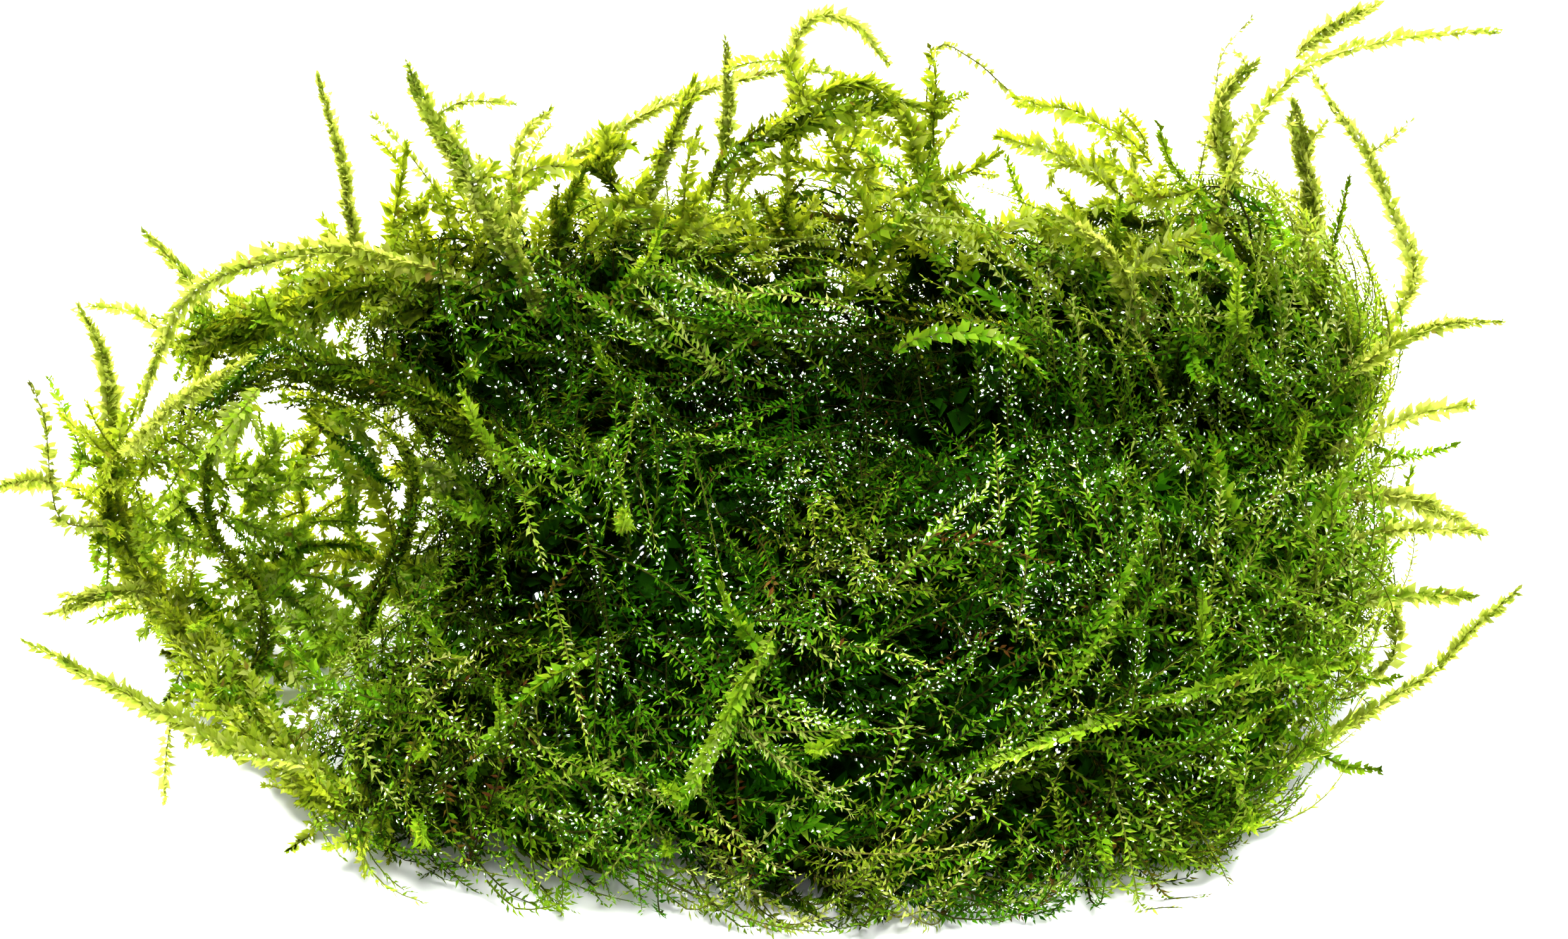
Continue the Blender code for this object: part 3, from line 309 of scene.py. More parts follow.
# Thin shoots that cross the left lobe, and shoots that lie on the mat, in the same form.
LOBE_WEB = (
    (0.7, "deep", -34.5, -1, 22.8, -32.4, -0.7, 20.6, -31.2, -0.3, 18, -29.7, 0, 16),
    (0.5, "bare", -37.8, 4, 9.5, -34.3, 3.7, 10.3, -32.3, 3.3, 12.7, -31.3, 3, 14.9),
    (0.8, "mid", -44.6, 3, 11.2, -41.8, 4, 8.9, -39.7, 5, 7.7, -37.6, 6, 8.4),
    (0.7, "mid", -39.2, 4, 8.9, -39.6, 3.7, 5.5, -42.4, 3.3, 4.2, -45.3, 3, 5.4),
    (0.6, "deep", -44.6, 3, 7.6, -41.5, 3.5, 6.6, -37.6, 4, 7.1, -34.9, 4.5, 6.7, -32.6, 5, 5.3),
    (0.9, "pale", -42.8, 5, 11.3, -41.3, 5.7, 13.7, -40, 6.3, 15.2, -40.3, 7, 16.8),
    (0.9, "mid", -44.3, 6, 13.4, -41.6, 6.3, 13.1, -39.7, 6.7, 11.8, -38.1, 7, 11.2),
    (0.8, "mid", -43.7, 6, 8.7, -42.2, 6.7, 10, -40.5, 7.3, 10.9, -38.8, 8, 11.8),
    (0.8, "pale", -34.8, 2, 21.9, -33.2, 1.7, 21.5, -31.7, 1.3, 20.1, -31, 1, 17.8),
    (0.8, "mid", -35.1, 3, 18.5, -33.8, 3.3, 16.5, -33.6, 3.7, 13.8, -34.6, 4, 10.7),
    (0.8, "mid", -29.3, 2, 13.8, -27.2, 2.7, 13.9, -25.5, 3.3, 12.3, -24.9, 4, 9.3),
    (0.8, "pale", -29.5, 1, 8.2, -27.8, 1.7, 6.5, -26.3, 2.3, 5.2, -24.7, 3, 5),
    (0.8, "mid", -29.4, 3, 16.4, -27.5, 2.7, 16, -25.6, 2.3, 15.2, -24.4, 2, 13.8),
    (0.7, "mid", -24.9, 2, 10.9, -25.4, 2, 8, -24.9, 2, 5.1, -25.7, 2, 2.5),
    (0.7, "mid", -48.7, 5.7, 3, -46.8, 2, 3.2, -44.4, -1.3, 3.5, -42.3, -3.6, 3.8, -39.8, -6.3, 4),
    (0.8, "mid", -42.2, 1.3, 5, -39.2, 0.3, 4.8, -36.6, -0.7, 4.5, -34.2, -2.1, 4.2, -32, -2.2, 4),
    (0.8, "pale", -45, 1, 3, -41.8, -0.6, 3.3, -38.3, -1.3, 3.5, -35.2, -3.2, 3.8, -32.8, -4.3, 4),
    (0.7, "mid", -44.3, -2.4, 3, -41.8, -3.6, 3, -39.3, -5.4, 3, -37.2, -4.6, 3, -35.1, -4, 3),
    (0.4, "bare", -42.6, -5.2, 3, -43.3, -7.5, 2.9, -42.6, -9.7, 2.8, -40.4, -11.1, 2.7, -38.5, -9.9, 2.6,
     -36.1, -8.6, 2.5),
    (0.6, "mid", -41.8, -6.8, 3, -40.7, -9.9, 3, -38.6, -12.2, 3, -36.1, -12.9, 3),
    (0.35, "bare", -39.7, -6, 3, -38.9, -7.4, 3, -37.6, -7.2, 3, -36.3, -6.8, 3),
    (0.7, "mid", -38.8, 1.8, 6, -36.2, 1.3, 5.8, -34, -0.2, 5.5, -32.4, -2, 5.2, -31.8, -4.1, 5),
    (0.7, "pale", -42, 4.1, 4, -42.2, 0.4, 4.7, -40.2, -3.3, 5.3, -37.7, -7.2, 6),
    (0.8, "deep", -46.1, 5.6, 5, -43.4, 3.3, 4.8, -40.9, 1.8, 4.5, -38.4, 0, 4.2, -36, -2.6, 4),
    (0.7, "mid", -37.9, 3.3, 4, -37.9, -0.1, 4, -36.7, -3.4, 4, -34.6, -6.3, 4),
    (0.7, "mid", -47.8, 0, 19.1, -45.1, -0.7, 18.6, -43.2, -1.3, 17.8, -42.1, -2, 17),
    (0.8, "mid", -50.3, 2, 12, -47.8, 0.3, 11.6, -45.3, -1.3, 11.6, -42.7, -3, 12.3),
    (0.7, "deep", -46.9, 1, 14.6, -45.4, -0.3, 13.9, -44.2, -1.7, 12.9, -42.6, -3, 13),
    (0.7, "pale", -51.4, 3, 7.2, -49.5, 2, 10.2, -46.9, 1, 12.8, -45.9, 0, 16),
    (0.7, "mid", -52.1, 4, 13.9, -52.9, 3.7, 15.2, -54.2, 3.3, 16.2, -54.6, 3, 17.1),
    (0.4, "bare", -52.5, 4, 8.9, -53.5, 3, 9.4, -54.8, 2, 9.3),
    (0.7, "pale", -48.5, 2.4, 4, -49.8, 0.7, 4, -50.2, -1.4, 4),
    (0.8, "mid", -47, 0.1, 3, -48.4, -1.1, 3, -49.3, -2.4, 3),
    (0.7, "pale", -44.9, -2.2, 2.5, -46.5, -3.2, 2.2, -47.8, -4.7, 2),
    (0.8, "mid", -39.3, 10, 22.3, -41.9, 10, 23.8, -44.4, 10, 24.8, -46.7, 10, 24.4),
    (0.7, "mid", -40.5, 10, 21.8, -43, 9.7, 23, -45.4, 9.3, 23.2, -47.3, 9, 22.6),
    (0.8, "mid", -33.6, 8, 22.2, -36, 7.7, 23.7, -37.8, 7.3, 25.9, -40.2, 7, 27.9),
    (0.7, "deep", -34.7, 2, 26.4, -36.9, 1.5, 28.3, -38.8, 1, 27.4, -41.1, 0.5, 25.3, -43.6, 0, 23.4),
    (0.7, "pale", -38.3, -1, 26.3, -40.1, -1.3, 24.4, -41.4, -1.7, 22.3, -42.4, -2, 20.3),
    (0.6, "deep", -28.6, -2, 14.9, -29.5, -2, 11.8, -31.2, -2, 8.9, -32.6, -2, 6),
    (0.6, "mid", -29.9, -3, 11.2, -29.3, -3.3, 9, -28.2, -3.7, 6.4, -27.5, -4, 4.5),
)
LYING = (
    (0.85, "pale", -0.8, -18.5, 18.6, -1.9, -20.3, 17.4, -3.2, -21.9, 15.9, -5.3, -24.9, 12.9,
     -6.4, -26.2, 11.2, -7.2, -27.1, 9.8),
    (0.6, "mid", -13, -18.7, 16.6, -14.1, -19.4, 16.1, -17.3, -20.7, 14.8, -20.5, -23.5, 12.3,
     -21.6, -25, 10.7),
    (0.4, "mid", 26.3, -8.3, 20.1, 25.5, -11, 19.4, 23.7, -14.9, 18.3, 21.8, -18.2, 16.9, 20, -20.8, 15.6),
    (0.5, "pale", 8.1, 1.6, 27.6, 9.8, 2.4, 28.4, 13.3, 2.9, 28.5, 16.9, 2.7, 27.5, 19.2, 1.5, 25.6),
    (0.5, "mid", 23.3, -22.2, 13.4, 20.5, -23.1, 13.4, 17.2, -24.4, 13.1, 13.3, -26, 12.5),
    (0.65, "mid", 43.8, -10.8, 8.9, 38.6, -14.7, 11.5, 33.4, -17.2, 13, 27.4, -20.2, 13.6, 24.5, -21, 13.9),
)
# Arcs and curled shoots of the airy crest, in the same form.
CREST_ARCS = (
    (0.7, "mid", -30.2, 14, 26.8, -30.2, 14.7, 30.4, -29.4, 15.3, 33.9, -28.6, 16, 37),
    (0.7, "mid", -27.5, 13, 27.2, -28, 13.7, 30.4, -27.9, 14.3, 32.9, -27.4, 15, 33.1),
    (0.6, "mid", -23.9, 13, 32.7, -26.1, 13.3, 33.2, -28.1, 13.7, 32.7, -30.1, 14, 30.5),
    (0.7, "pale", -25.5, 14, 28.2, -25.9, 14.3, 30.6, -26.3, 14.7, 33, -26.8, 15, 33.8),
    (0.6, "mid", -33.2, 11, 30.7, -34.4, 12, 31.4, -35.3, 13, 32.1),
    (0.7, "pale", -30.3, 13, 27.5, -32.2, 13.3, 28.6, -34.5, 13.7, 28.7, -36.3, 14, 27.9),
    (0.8, "mid", -24.2, 12, 27.8, -25.2, 12, 29.1, -27.7, 12, 29.8, -30.2, 12, 29.8, -32.6, 12, 28.1),
    (0.6, "bare", -24.5, 16, 30.3, -25.8, 16.7, 29.2, -27.3, 17.3, 26.1, -28.7, 18, 24.3),
    (0.8, "mid", -24, 14, 26.5, -24.1, 14.7, 29.1, -24.5, 15.3, 31.7, -25.3, 16, 33.5),
    (0.8, "mid", -22.7, 13, 27.5, -22.3, 13.3, 30.6, -22, 13.7, 33.3, -21.9, 14, 33.9),
    (0.7, "mid", -24.2, 9.5, 37, -23.2, 10.7, 37.3, -22, 11.8, 36.9, -21.9, 13, 36.9),
    (0.7, "mid", -19, 13, 27.5, -19, 13, 29.5, -18.7, 13, 31.4, -18.4, 13, 32.4),
    (1.0, "deep", -18, 12, 28.1, -17.1, 13, 31.4, -16.2, 14, 33.7, -15.3, 15, 35.1),
    (0.8, "deep", -17, 13, 27.5, -17.4, 13, 30.1, -17.5, 13, 32.7, -17.2, 13, 35),
    (0.9, "pale", -20.6, 18, 32.7, -19.4, 18.7, 33.4, -17.4, 19.3, 33.4, -15.2, 20, 33),
    (1.0, "mid", -14.9, 17, 34.5, -14.1, 17.3, 35.3, -13.5, 17.7, 35.8, -14, 18, 37.2),
    (1.0, "mid", -13, 16, 32.9, -14.1, 16.7, 34.4, -13.2, 17.3, 36, -11.9, 18, 35.6),
    (0.9, "deep", -12.4, 15, 33.1, -12.9, 15.3, 33.9, -14.3, 15.7, 35, -15.1, 16, 35.1),
    (0.9, "mid", -10.4, 15, 34.1, -9.2, 15.7, 36.9, -8, 16.3, 39.6, -6.8, 17, 42),
    (0.9, "mid", -13, 13, 28.8, -12.3, 13.3, 31.9, -11.1, 13.7, 33.9, -9.7, 14, 35),
    (0.8, "mid", -8.8, 14, 30.2, -10.4, 13.7, 32.7, -12.2, 13.3, 33.5, -13.9, 13, 32.7),
    (0.7, "mid", -15.7, 12, 29.5, -14.2, 12, 32.1, -12.5, 12, 33.3, -10.5, 12, 33),
    (0.6, "pale", -8, 12, 30.8, -7.5, 12.3, 34.4, -7, 12.7, 37.7, -6.3, 13, 39.9),
    (0.8, "mid", -6.2, 12, 29.5, -6.9, 12.3, 31.9, -6.7, 12.7, 33.6, -5.8, 13, 34.7),
    (1.1, "deep", -5.5, 12, 34.3, -5, 12.7, 36.1, -3.5, 13.9, 37.6, -1, 15.1, 38.4, 1.7, 15.9, 39.3,
     4.7, 16, 40.3, 7.2, 16, 40.4, 9, 16, 39.8),
    (1.1, "mid", 12.1, 15, 31.9, 11.4, 15.5, 33.8, 10.3, 16, 36.4, 9.4, 16, 38.9, 7.5, 16, 40.1),
    (1.0, "mid", 0.6, 16, 39.8, 3.3, 16.4, 41.1, 6.1, 16.8, 41.2, 8.3, 17, 40.2, 10.3, 17, 39.6,
     12.7, 17, 39.7),
    (0.9, "mid", 7.5, 15, 35.9, 5.6, 15, 35.4, 3.4, 15, 35.4, 0.9, 14.8, 36.3, -1.6, 14.4, 36.4,
     -4.1, 14, 35.7),
    (0.9, "mid", -3.2, 14, 37.5, -2.4, 14.4, 37.6, 0.1, 14.8, 38.6, 2.8, 15.2, 40, 5.5, 15.6, 40,
     7.7, 16, 40.1),
    (0.7, "mid", 6.3, 14, 27.9, 3.7, 13.8, 29, 1.5, 13.6, 30.1, 0.4, 13.4, 32.8, 0.2, 13.2, 35.8,
     0.3, 13, 38.7),
    (0.7, "deep", 2.1, 14, 23.4, 1.8, 13.8, 25.3, 0.9, 13.5, 28.2, -0.5, 13.2, 31.3, -1.9, 13, 34.3),
    (0.7, "deep", 4, 13, 29.5, 2, 12.8, 30, 0.6, 12.5, 31.4, 0.1, 12.2, 33.8, 1.4, 12, 35.9),
    (0.8, "mid", 6.6, 14, 27.5, 6.3, 14, 29.5, 6.5, 14, 31.8, 5.6, 14, 33.7, 4.5, 14, 34.7),
    (0.8, "mid", 7.7, 15, 31.9, 8.5, 15, 32.8, 10.1, 15, 33.1, 11.5, 15, 33.8),
    (0.9, "mid", 11.9, 13, 28.2, 12.1, 13.3, 30.6, 11.7, 13.7, 33.3, 11.1, 14, 34.7),
    (0.7, "mid", 11.5, 15, 34.1, 13.5, 15.7, 34.4, 15.2, 16.3, 34.9, 16.6, 17, 35.7),
    (0.7, "bare", 19.4, 16, 25.2, 17.6, 15.8, 27.1, 16, 15.5, 29.6, 14.2, 15.2, 31, 12.3, 15, 33.5),
    (0.7, "bare", 11.4, 16, 36.7, 11.3, 16.3, 39.6, 11.5, 16.7, 41.6, 10.9, 17, 44.4),
    (0.8, "pale", 26.2, 19, 31.1, 24.8, 18.8, 32.9, 22.7, 18.6, 33.9, 20.6, 18.4, 35, 18.6, 18.2, 35.8,
     16.6, 18, 36.5),
    (0.8, "pale", 29, 20, 32.8, 27, 19.8, 35.2, 24.9, 19.6, 36.6, 22.5, 19.4, 38, 19.9, 19.2, 38.4,
     17.9, 19, 39.1),
    (0.8, "mid", 16.5, 14, 27.9, 16.7, 14.2, 30, 18, 14.5, 31.2, 20, 14.8, 31, 21.1, 15, 28.6),
    (0.7, "deep", 23.3, 14, 27.5, 21, 13.8, 27.7, 19.1, 13.5, 27.2, 17.3, 13.2, 28.3, 15.2, 13, 29.5),
    (0.7, "pale", 26.3, 18, 31.4, 24.4, 17.8, 33.1, 22.3, 17.5, 34.3, 21, 17.2, 34.1, 20.7, 17, 32.9),
    (1.1, "deep", 29.7, 15, 30.5, 27.7, 15, 30.2, 25.4, 15, 30.9, 22.9, 15, 30.9, 20.6, 15, 30.9),
    (0.8, "mid", 29.5, 15, 32.5, 27.7, 14.8, 32.7, 26.1, 14.5, 32.2, 24.3, 14.2, 32.6, 22.7, 14, 31.8),
    (1.0, "pale", 24.4, 10, 29.4, 23.7, 10, 31, 21.9, 10, 32.7, 20.5, 10, 33.9, 19.3, 10, 34.6),
    (0.9, "pale", 24.7, 9, 28.1, 26.2, 9.2, 29.6, 27.8, 9.5, 31, 29.6, 9.8, 32.2, 31.2, 10, 32.7),
    (0.9, "pale", 31.4, 13, 35, 29.8, 12.8, 34.5, 27.8, 12.5, 34.6, 25.9, 12.2, 36.4, 23.9, 12, 37.7),
    (0.6, "pale", 27.9, 11, 29.4, 26.3, 10.5, 30.4, 26.4, 10, 32),
    (0.9, "mid", 13.4, 11, 28.8, 13.9, 11.3, 30.2, 14.2, 11.7, 31, 14.8, 12, 31.1),
    (0.9, "mid", 3.5, 11, 25.4, 5.1, 11.3, 26.9, 6.8, 11.7, 28.3, 9, 12, 28.8),
    (0.8, "mid", 5.6, 12, 30.8, 7.6, 12.3, 31.9, 9.5, 12.7, 32, 11.2, 13, 30.8),
    (0.7, "mid", 7.9, 12, 28.1, 8.4, 12.3, 30.6, 9.2, 12.7, 32.3, 10.6, 13, 32.7),
    (0.8, "mid", -0.5, 12, 28.1, -1.9, 12, 29.5, -2.4, 12, 32.1, -3.5, 12, 34.6),
    (0.8, "pale", 1.7, 15, 40.4, 1.2, 15.3, 42, 0.7, 15.7, 43.3, 0.5, 16, 44.5),
    (0.7, "pale", 8.9, 16, 36.7, 7.2, 15.7, 38.1, 5.5, 15.3, 39, 3.9, 15, 38.8),
    (0.7, "mid", 5.1, 16, 34.5, 4.8, 15.7, 35.6, 3.9, 15.3, 37.1, 3.4, 15, 38.8),
)


def unit(v):
    """Each vector divided by its length."""
    return v / np.maximum(np.linalg.norm(v, axis=-1, keepdims=True), 1e-9)


def dot(a, b):
    """The dot product of each pair of vectors, kept as a column."""
    return (a * b).sum(-1, keepdims=True)


def ramp(value, start, over):
    """(value - start) / over, kept from 0 to 1."""
    return np.clip((value - start) / over, 0, 1)


def bells(places, spots):
    """How near each place is to each spot: exp(-d²/r²), where a spot's row begins with its centre and r."""
    spots = np.array(spots, float)
    return np.exp(-(((places[:, None] - spots[:, :3]) / spots[:, 3:4]) ** 2).sum(-1))


def patches(places, a, b, c, d, e, f):
    """Patches that run into each other, from -2 to 2: sin(x/a + 2 sin(y/b + z/c)) + sin(z/d + x/e + y/f)."""
    x, y, z = places.T
    return np.sin(x / a + 2 * np.sin(y / b + z / c)) + np.sin(z / d + x / e + y / f)


def smooth_route(points, step):
    """Places at equal steps along a Catmull-Rom curve: between two knots it is the cubic whose slope at
    each knot is half the way from the knot before it to the knot after it."""
    knots = np.array(points, float)
    knots = np.vstack([2 * knots[0] - knots[1], knots, 2 * knots[-1] - knots[-2]])
    t = np.linspace(0, 1, 24, endpoint=False)[None, :, None]
    a, b, c, d = (knots[k:len(knots) - 3 + k, None] for k in range(4))
    fine = (2 * b + (c - a) * t + (2 * a - 5 * b + 4 * c - d) * t ** 2 + (3 * b - a - 3 * c + d) * t ** 3) / 2
    fine = np.vstack([fine.reshape(-1, 3), knots[-2]])
    along = np.r_[0, np.cumsum(np.linalg.norm(np.diff(fine, axis=0), axis=1))]
    wanted = np.linspace(0, along[-1], max(4, round(along[-1] / step) + 1))
    return np.stack([np.interp(wanted, along, fine[:, k]) for k in range(3)], axis=1)


def mat_depth(places):
    """How far each place lies outside the mat's tufts, and which way is out. For a tuft it is the ellipsoid
    distance |p/r| (|p/r| - 1) / |p/r²|, and over all tufts their smooth least, -w log(sum exp(-d/w))."""
    balls = np.array(TUFTS, float)
    to = places[..., None, :] - balls[:, :3]
    scaled = to / balls[:, 3:]
    steep = scaled / balls[:, 3:]
    share = np.linalg.norm(scaled, axis=-1)
    far = share * (share - 1) / np.maximum(np.linalg.norm(steep, axis=-1), 1e-6)
    weight = np.exp(-np.clip(far, -30, 60) / BLEND)
    out = unit((weight[..., None] * unit(steep)).sum(-2))
    return -BLEND * np.log(weight.sum(-1)), out


def on_crest(places, low):
    """How far a place lies up on the crest, from 0 to 1: the product of two ramps, one up from the low
    height over CREST_RISE, one back from CREST_FRONT over CREST_DEPTH."""
    return ramp(places[..., 2], low, CREST_RISE) * ramp(places[..., 1], CREST_FRONT, CREST_DEPTH)


class Shoots:
    """Shoots as arrays: paths (shoot, place, xyz) from foot to tip with equal steps between places, how
    many of the places each uses, which way its flat side faces, and its traits, a number for each shoot:
    leaf (length), slim (leaf width as a share of that), tone, bud (tone lost at the tip), kept (share of
    the leaves still on it) and dead (share of those that are dead)."""

    def __init__(self, paths, counts, faces, **traits):
        self.paths, self.counts, self.faces = paths, np.asarray(counts), faces
        self.traits = {name: np.broadcast_to(np.asarray(v, float), len(paths)) for name, v in traits.items()}

    def of(self, name, which):
        """A trait of each picked shoot, as a column."""
        return self.traits[name][which][:, None]

    def only(self, keep):
        """The shoots that the mask picks."""
        traits = {name: v[keep] for name, v in self.traits.items()}
        return Shoots(self.paths[keep], self.counts[keep], self.faces[keep], **traits)

    @staticmethod
    def together(several):
        """Several sets as one, their paths padded with their own tips to the longest of them."""
        longest = max(s.paths.shape[1] for s in several)
        paths = [np.concatenate([s.paths, np.repeat(s.paths[:, -1:], longest - s.paths.shape[1], 1)], 1)
                 for s in several]
        traits = {name: np.concatenate([s.traits[name] for s in several]) for name in several[0].traits}
        counts, faces = (np.concatenate([getattr(s, name) for s in several]) for name in ("counts", "faces"))
        return Shoots(np.concatenate(paths), counts, faces, **traits)


def frames(shoots, twist):
    """Tangent, side and flat-side normal at each place. The tangent is the central difference of the path.
    The side is carried along, freed of its part along the tangent, and turned by the twist at each step."""
    paths, last = shoots.paths, shoots.counts - 1
    ahead = np.minimum(np.arange(paths.shape[1])[None] + 1, last[:, None])
    behind = np.maximum(ahead - 2, 0)
    row = np.arange(len(paths))[:, None]
    tangent = unit(paths[row, ahead] - paths[row, behind])
    side = np.empty_like(paths)
    now = unit(np.cross(shoots.faces, tangent[:, 0]))
    for k in range(paths.shape[1]):
        now = unit(now - tangent[:, k] * dot(now, tangent[:, k]))
        now = now * np.cos(twist) + np.cross(tangent[:, k], now) * np.sin(twist)
        side[:, k] = now
    return tangent, side, np.cross(tangent, side)


def wet_share(places):
    """The share of leaves with a spot of gloss at each place: WET times 0.85 + 0.6 times the pattern of
    clusters, kept from 0.1 to 2."""
    return WET * np.clip(0.85 + 0.6 * patches(places, *CLUSTERS), 0.1, 2)[:, None]


def leaf_rows(shoots, tangent, side, normal, dark, step, rows, rng):
    """Rows of leaves. A row has its own turn about the stem, start within a step, and share of the leaf
    length. Leaf k of a row springs from place k, a share u up the shoot, at an angle to the stem that runs
    from OPEN to SHUT as u³. Each is a kite of two faces folded along its midrib: base, right, left and tip,
    the sides raised by the fold. Its length is (start + gain min(1, 4u)) (1 - loss u⁵), and its tone the
    shoot's, less the painted shade of its place, with the pale tip's share u³ more and the bud's share
    u¹⁰ less."""
    corners, uvs = [], []
    place = np.arange(shoots.paths.shape[1])[None]
    share = place / (shoots.counts[:, None] - 1)
    for turn, offset, size in rows:
        keep = place < shoots.counts[:, None] - (offset > 0)
        keep &= rng.random(keep.shape) < shoots.traits["kept"][:, None]
        i, k = np.nonzero(keep)
        t, u = tangent[i, k], share[i, k][:, None]
        s = side[i, k] * math.cos(turn) + normal[i, k] * math.sin(turn)
        n = normal[i, k] * abs(math.cos(turn)) - side[i, k] * math.copysign(math.sin(turn), math.cos(turn))
        base = shoots.paths[i, k] + t * step * offset
        open_by = np.radians(OPEN + (SHUT - OPEN) * u ** 3 + rng.normal(0, OPEN_SPREAD, u.shape))
        way = unit(np.cos(open_by) * t + np.sin(open_by) * s + rng.normal(LIFT, LIFT_SPREAD, u.shape) * n)
        long = shoots.of("leaf", i) * size
        long = long * (LEAF_START + LEAF_GAIN * np.minimum(1, 4 * u)) * (1 - LEAF_LOSS * u ** 5)
        long = long * rng.uniform(*LEAF_SIZES, u.shape)
        up = unit(n - way * dot(n, way) + rng.normal(0, ROLL_SPREAD, u.shape) * t)
        across = np.cross(up, way) * long * shoots.of("slim", i) / 2
        widest = base + way * long * WIDEST + up * long * FOLD
        tip = base + way * long + up * long * rng.normal(0, BEND_SPREAD, u.shape)
        corners.append(np.stack([base, widest - across, widest + across, tip], 1))
        tone = shoots.of("tone", i) - dark[i, k][:, None]
        tone = tone + TIP_PALER * u ** 3 - shoots.of("bud", i) * u ** 10
        tone = tone + rng.normal(0, TONE_SPREAD, u.shape) * np.clip(2 * tone, 0.3, 1)
        tone = np.clip(tone, *LEAF_TONES)
        low = np.where(rng.random(u.shape) < wet_share(base), WET_ROW, LEAF_ROW)
        low = np.where(rng.random(u.shape) < shoots.of("dead", i), DEAD_ROW, low)
        spread = np.where((low == WET_ROW)[..., None], WET_UV, LEAF_UV)
        uvs.append(np.stack([tone, low], -1) + spread)
    corners, uvs = np.concatenate(corners), np.concatenate(uvs)
    faces = 4 * np.arange(len(corners))[:, None, None] + np.array(((0, 1, 3), (0, 3, 2)))
    return corners.reshape(-1, 3), faces.reshape(-1, 3), uvs.reshape(-1, 2)


def stems(shoots, side, normal, dark):
    """A three-sided tube along each shoot with a ring at every RING places: the ring is the place plus
    radius times (cos a side + sin a normal), thinning towards the tip, and both ends are closed. Its tone
    is a little under the shoot's, less the painted shade of each ring."""
    rings = shoots.paths[:, ::RING]
    turn = 2 * math.pi * np.arange(3) / 3
    used = (shoots.counts - 1) // RING + 1
    ring = np.arange(rings.shape[1])[None]
    live = ring < used[:, None]
    share = ring / np.maximum(used[:, None] - 1, 1)
    radius = STEM_RADIUS * (1 - STEM_THINNING * share)[..., None, None]
    around = np.cos(turn)[:, None] * side[:, ::RING, None] + np.sin(turn)[:, None] * normal[:, ::RING, None]
    points = (rings[:, :, None] + radius * around)[live]
    number = np.where(live, np.cumsum(live).reshape(live.shape) - 1, 0)
    both = live[:, 1:] & live[:, :-1]
    a = 3 * number[:, :-1][both][:, None]
    b = 3 * number[:, 1:][both][:, None]
    one, two = np.arange(3)[None], (np.arange(3)[None] + 1) % 3
    walls = [np.stack([a + one, a + two, b + two], -1), np.stack([a + one, b + two, b + one], -1)]
    foot = 3 * number[:, 0][:, None] + np.array((0, 2, 1))
    tip = 3 * number[np.arange(len(used)), used - 1][:, None] + np.arange(3)
    tone = shoots.traits["tone"][:, None] - STEM_DARKER - dark[:, ::RING]
    tone = np.clip(tone, *STEM_TONES)[..., None] + STEM_UV[:, 0]
    along = STEM_ROW + STEM_BAND * share[..., None] + STEM_UV[:, 1]
    uv = np.stack(np.broadcast_arrays(tone, along), -1)[live]
    faces = np.concatenate([np.concatenate(walls).reshape(-1, 3), foot, tip])
    return points.reshape(-1, 3), faces, uv.reshape(-1, 2)


def shoot_mesh(name, shoots, step, rows, rng):
    """One object that holds the stems and leaves of all the shoots. They take a painted shade of DARKER
    (d - SUNLIT) with their depth d in the mat, where d - SUNLIT is kept from 0 to DARKEST, and hardly any
    on the crest. None goes below LOWEST."""
    tangent, side, normal = frames(shoots, rng.normal(0, TWIST_SPREAD, (len(shoots.paths), 1)))
    # painted shade: tone taken off with the depth in the mat, less on the crest
    dark = DARKER * np.clip(-SUNLIT - mat_depth(shoots.paths)[0], 0, DARKEST)
    dark = dark * (1 - CREST_SPARED * on_crest(shoots.paths, CREST_LIT))
    leaves = leaf_rows(shoots, tangent, side, normal, dark, step, rows, rng)
    tubes = stems(shoots, side, normal, dark)
    places = np.concatenate([leaves[0], tubes[0]])
    places[:, 2] = np.maximum(places[:, 2], LOWEST)
    faces = np.concatenate([leaves[1], tubes[1] + len(leaves[0])])
    return moss_object(name, places, faces, np.concatenate([leaves[2], tubes[2]]))


def moss_object(name, places, faces, uv):
    """A mesh object from places, three-cornered faces, and each place's spot on the moss map."""
    mesh = bpy.data.meshes.new(name)
    mesh.vertices.add(len(places))
    mesh.vertices.foreach_set("co", (places * MM).ravel())
    mesh.loops.add(faces.size)
    mesh.loops.foreach_set("vertex_index", faces.ravel())
    mesh.polygons.add(len(faces))
    mesh.polygons.foreach_set("loop_start", np.arange(0, faces.size, 3))
    colours = mesh.uv_layers.new(name=MOSS_MAP)
    colours.uv.foreach_set("vector", uv[faces.ravel()].ravel())
    mesh.update(calc_edges=True)
    piece = bpy.data.objects.new(name, mesh)
    bpy.context.scene.collection.objects.link(piece)
    return piece


def skin_points(count, rng):
    """Places spread evenly over the mat's solid, but not under it, and the way out there. Triangles are
    drawn by their area, and a place in one is a + (b - a) sqrt(u) (1 - v) + (c - a) sqrt(u) v."""
    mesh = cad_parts["tangled_mat"].data
    mesh.calc_loop_triangles()
    co = np.empty(len(mesh.vertices) * 3)
    mesh.vertices.foreach_get("co", co)
    index = np.empty(len(mesh.loop_triangles) * 3, int)
    mesh.loop_triangles.foreach_get("vertices", index)
    corner = co.reshape(-1, 3)[index.reshape(-1, 3)] / MM
    out = np.cross(corner[:, 1] - corner[:, 0], corner[:, 2] - corner[:, 0])
    area = np.linalg.norm(out, axis=1)
    area[(unit(out)[:, 2] < -0.9) & (corner[:, :, 2].max(1) < 0.2)] = 0
    pick = rng.choice(len(area), count, p=area / area.sum())
    u, v = np.sqrt(rng.random((count, 1))), rng.random((count, 1))
    a, b, c = corner[pick, 0], corner[pick, 1], corner[pick, 2]
    return a + (b - a) * u * (1 - v) + (c - a) * u * v, unit(out[pick])


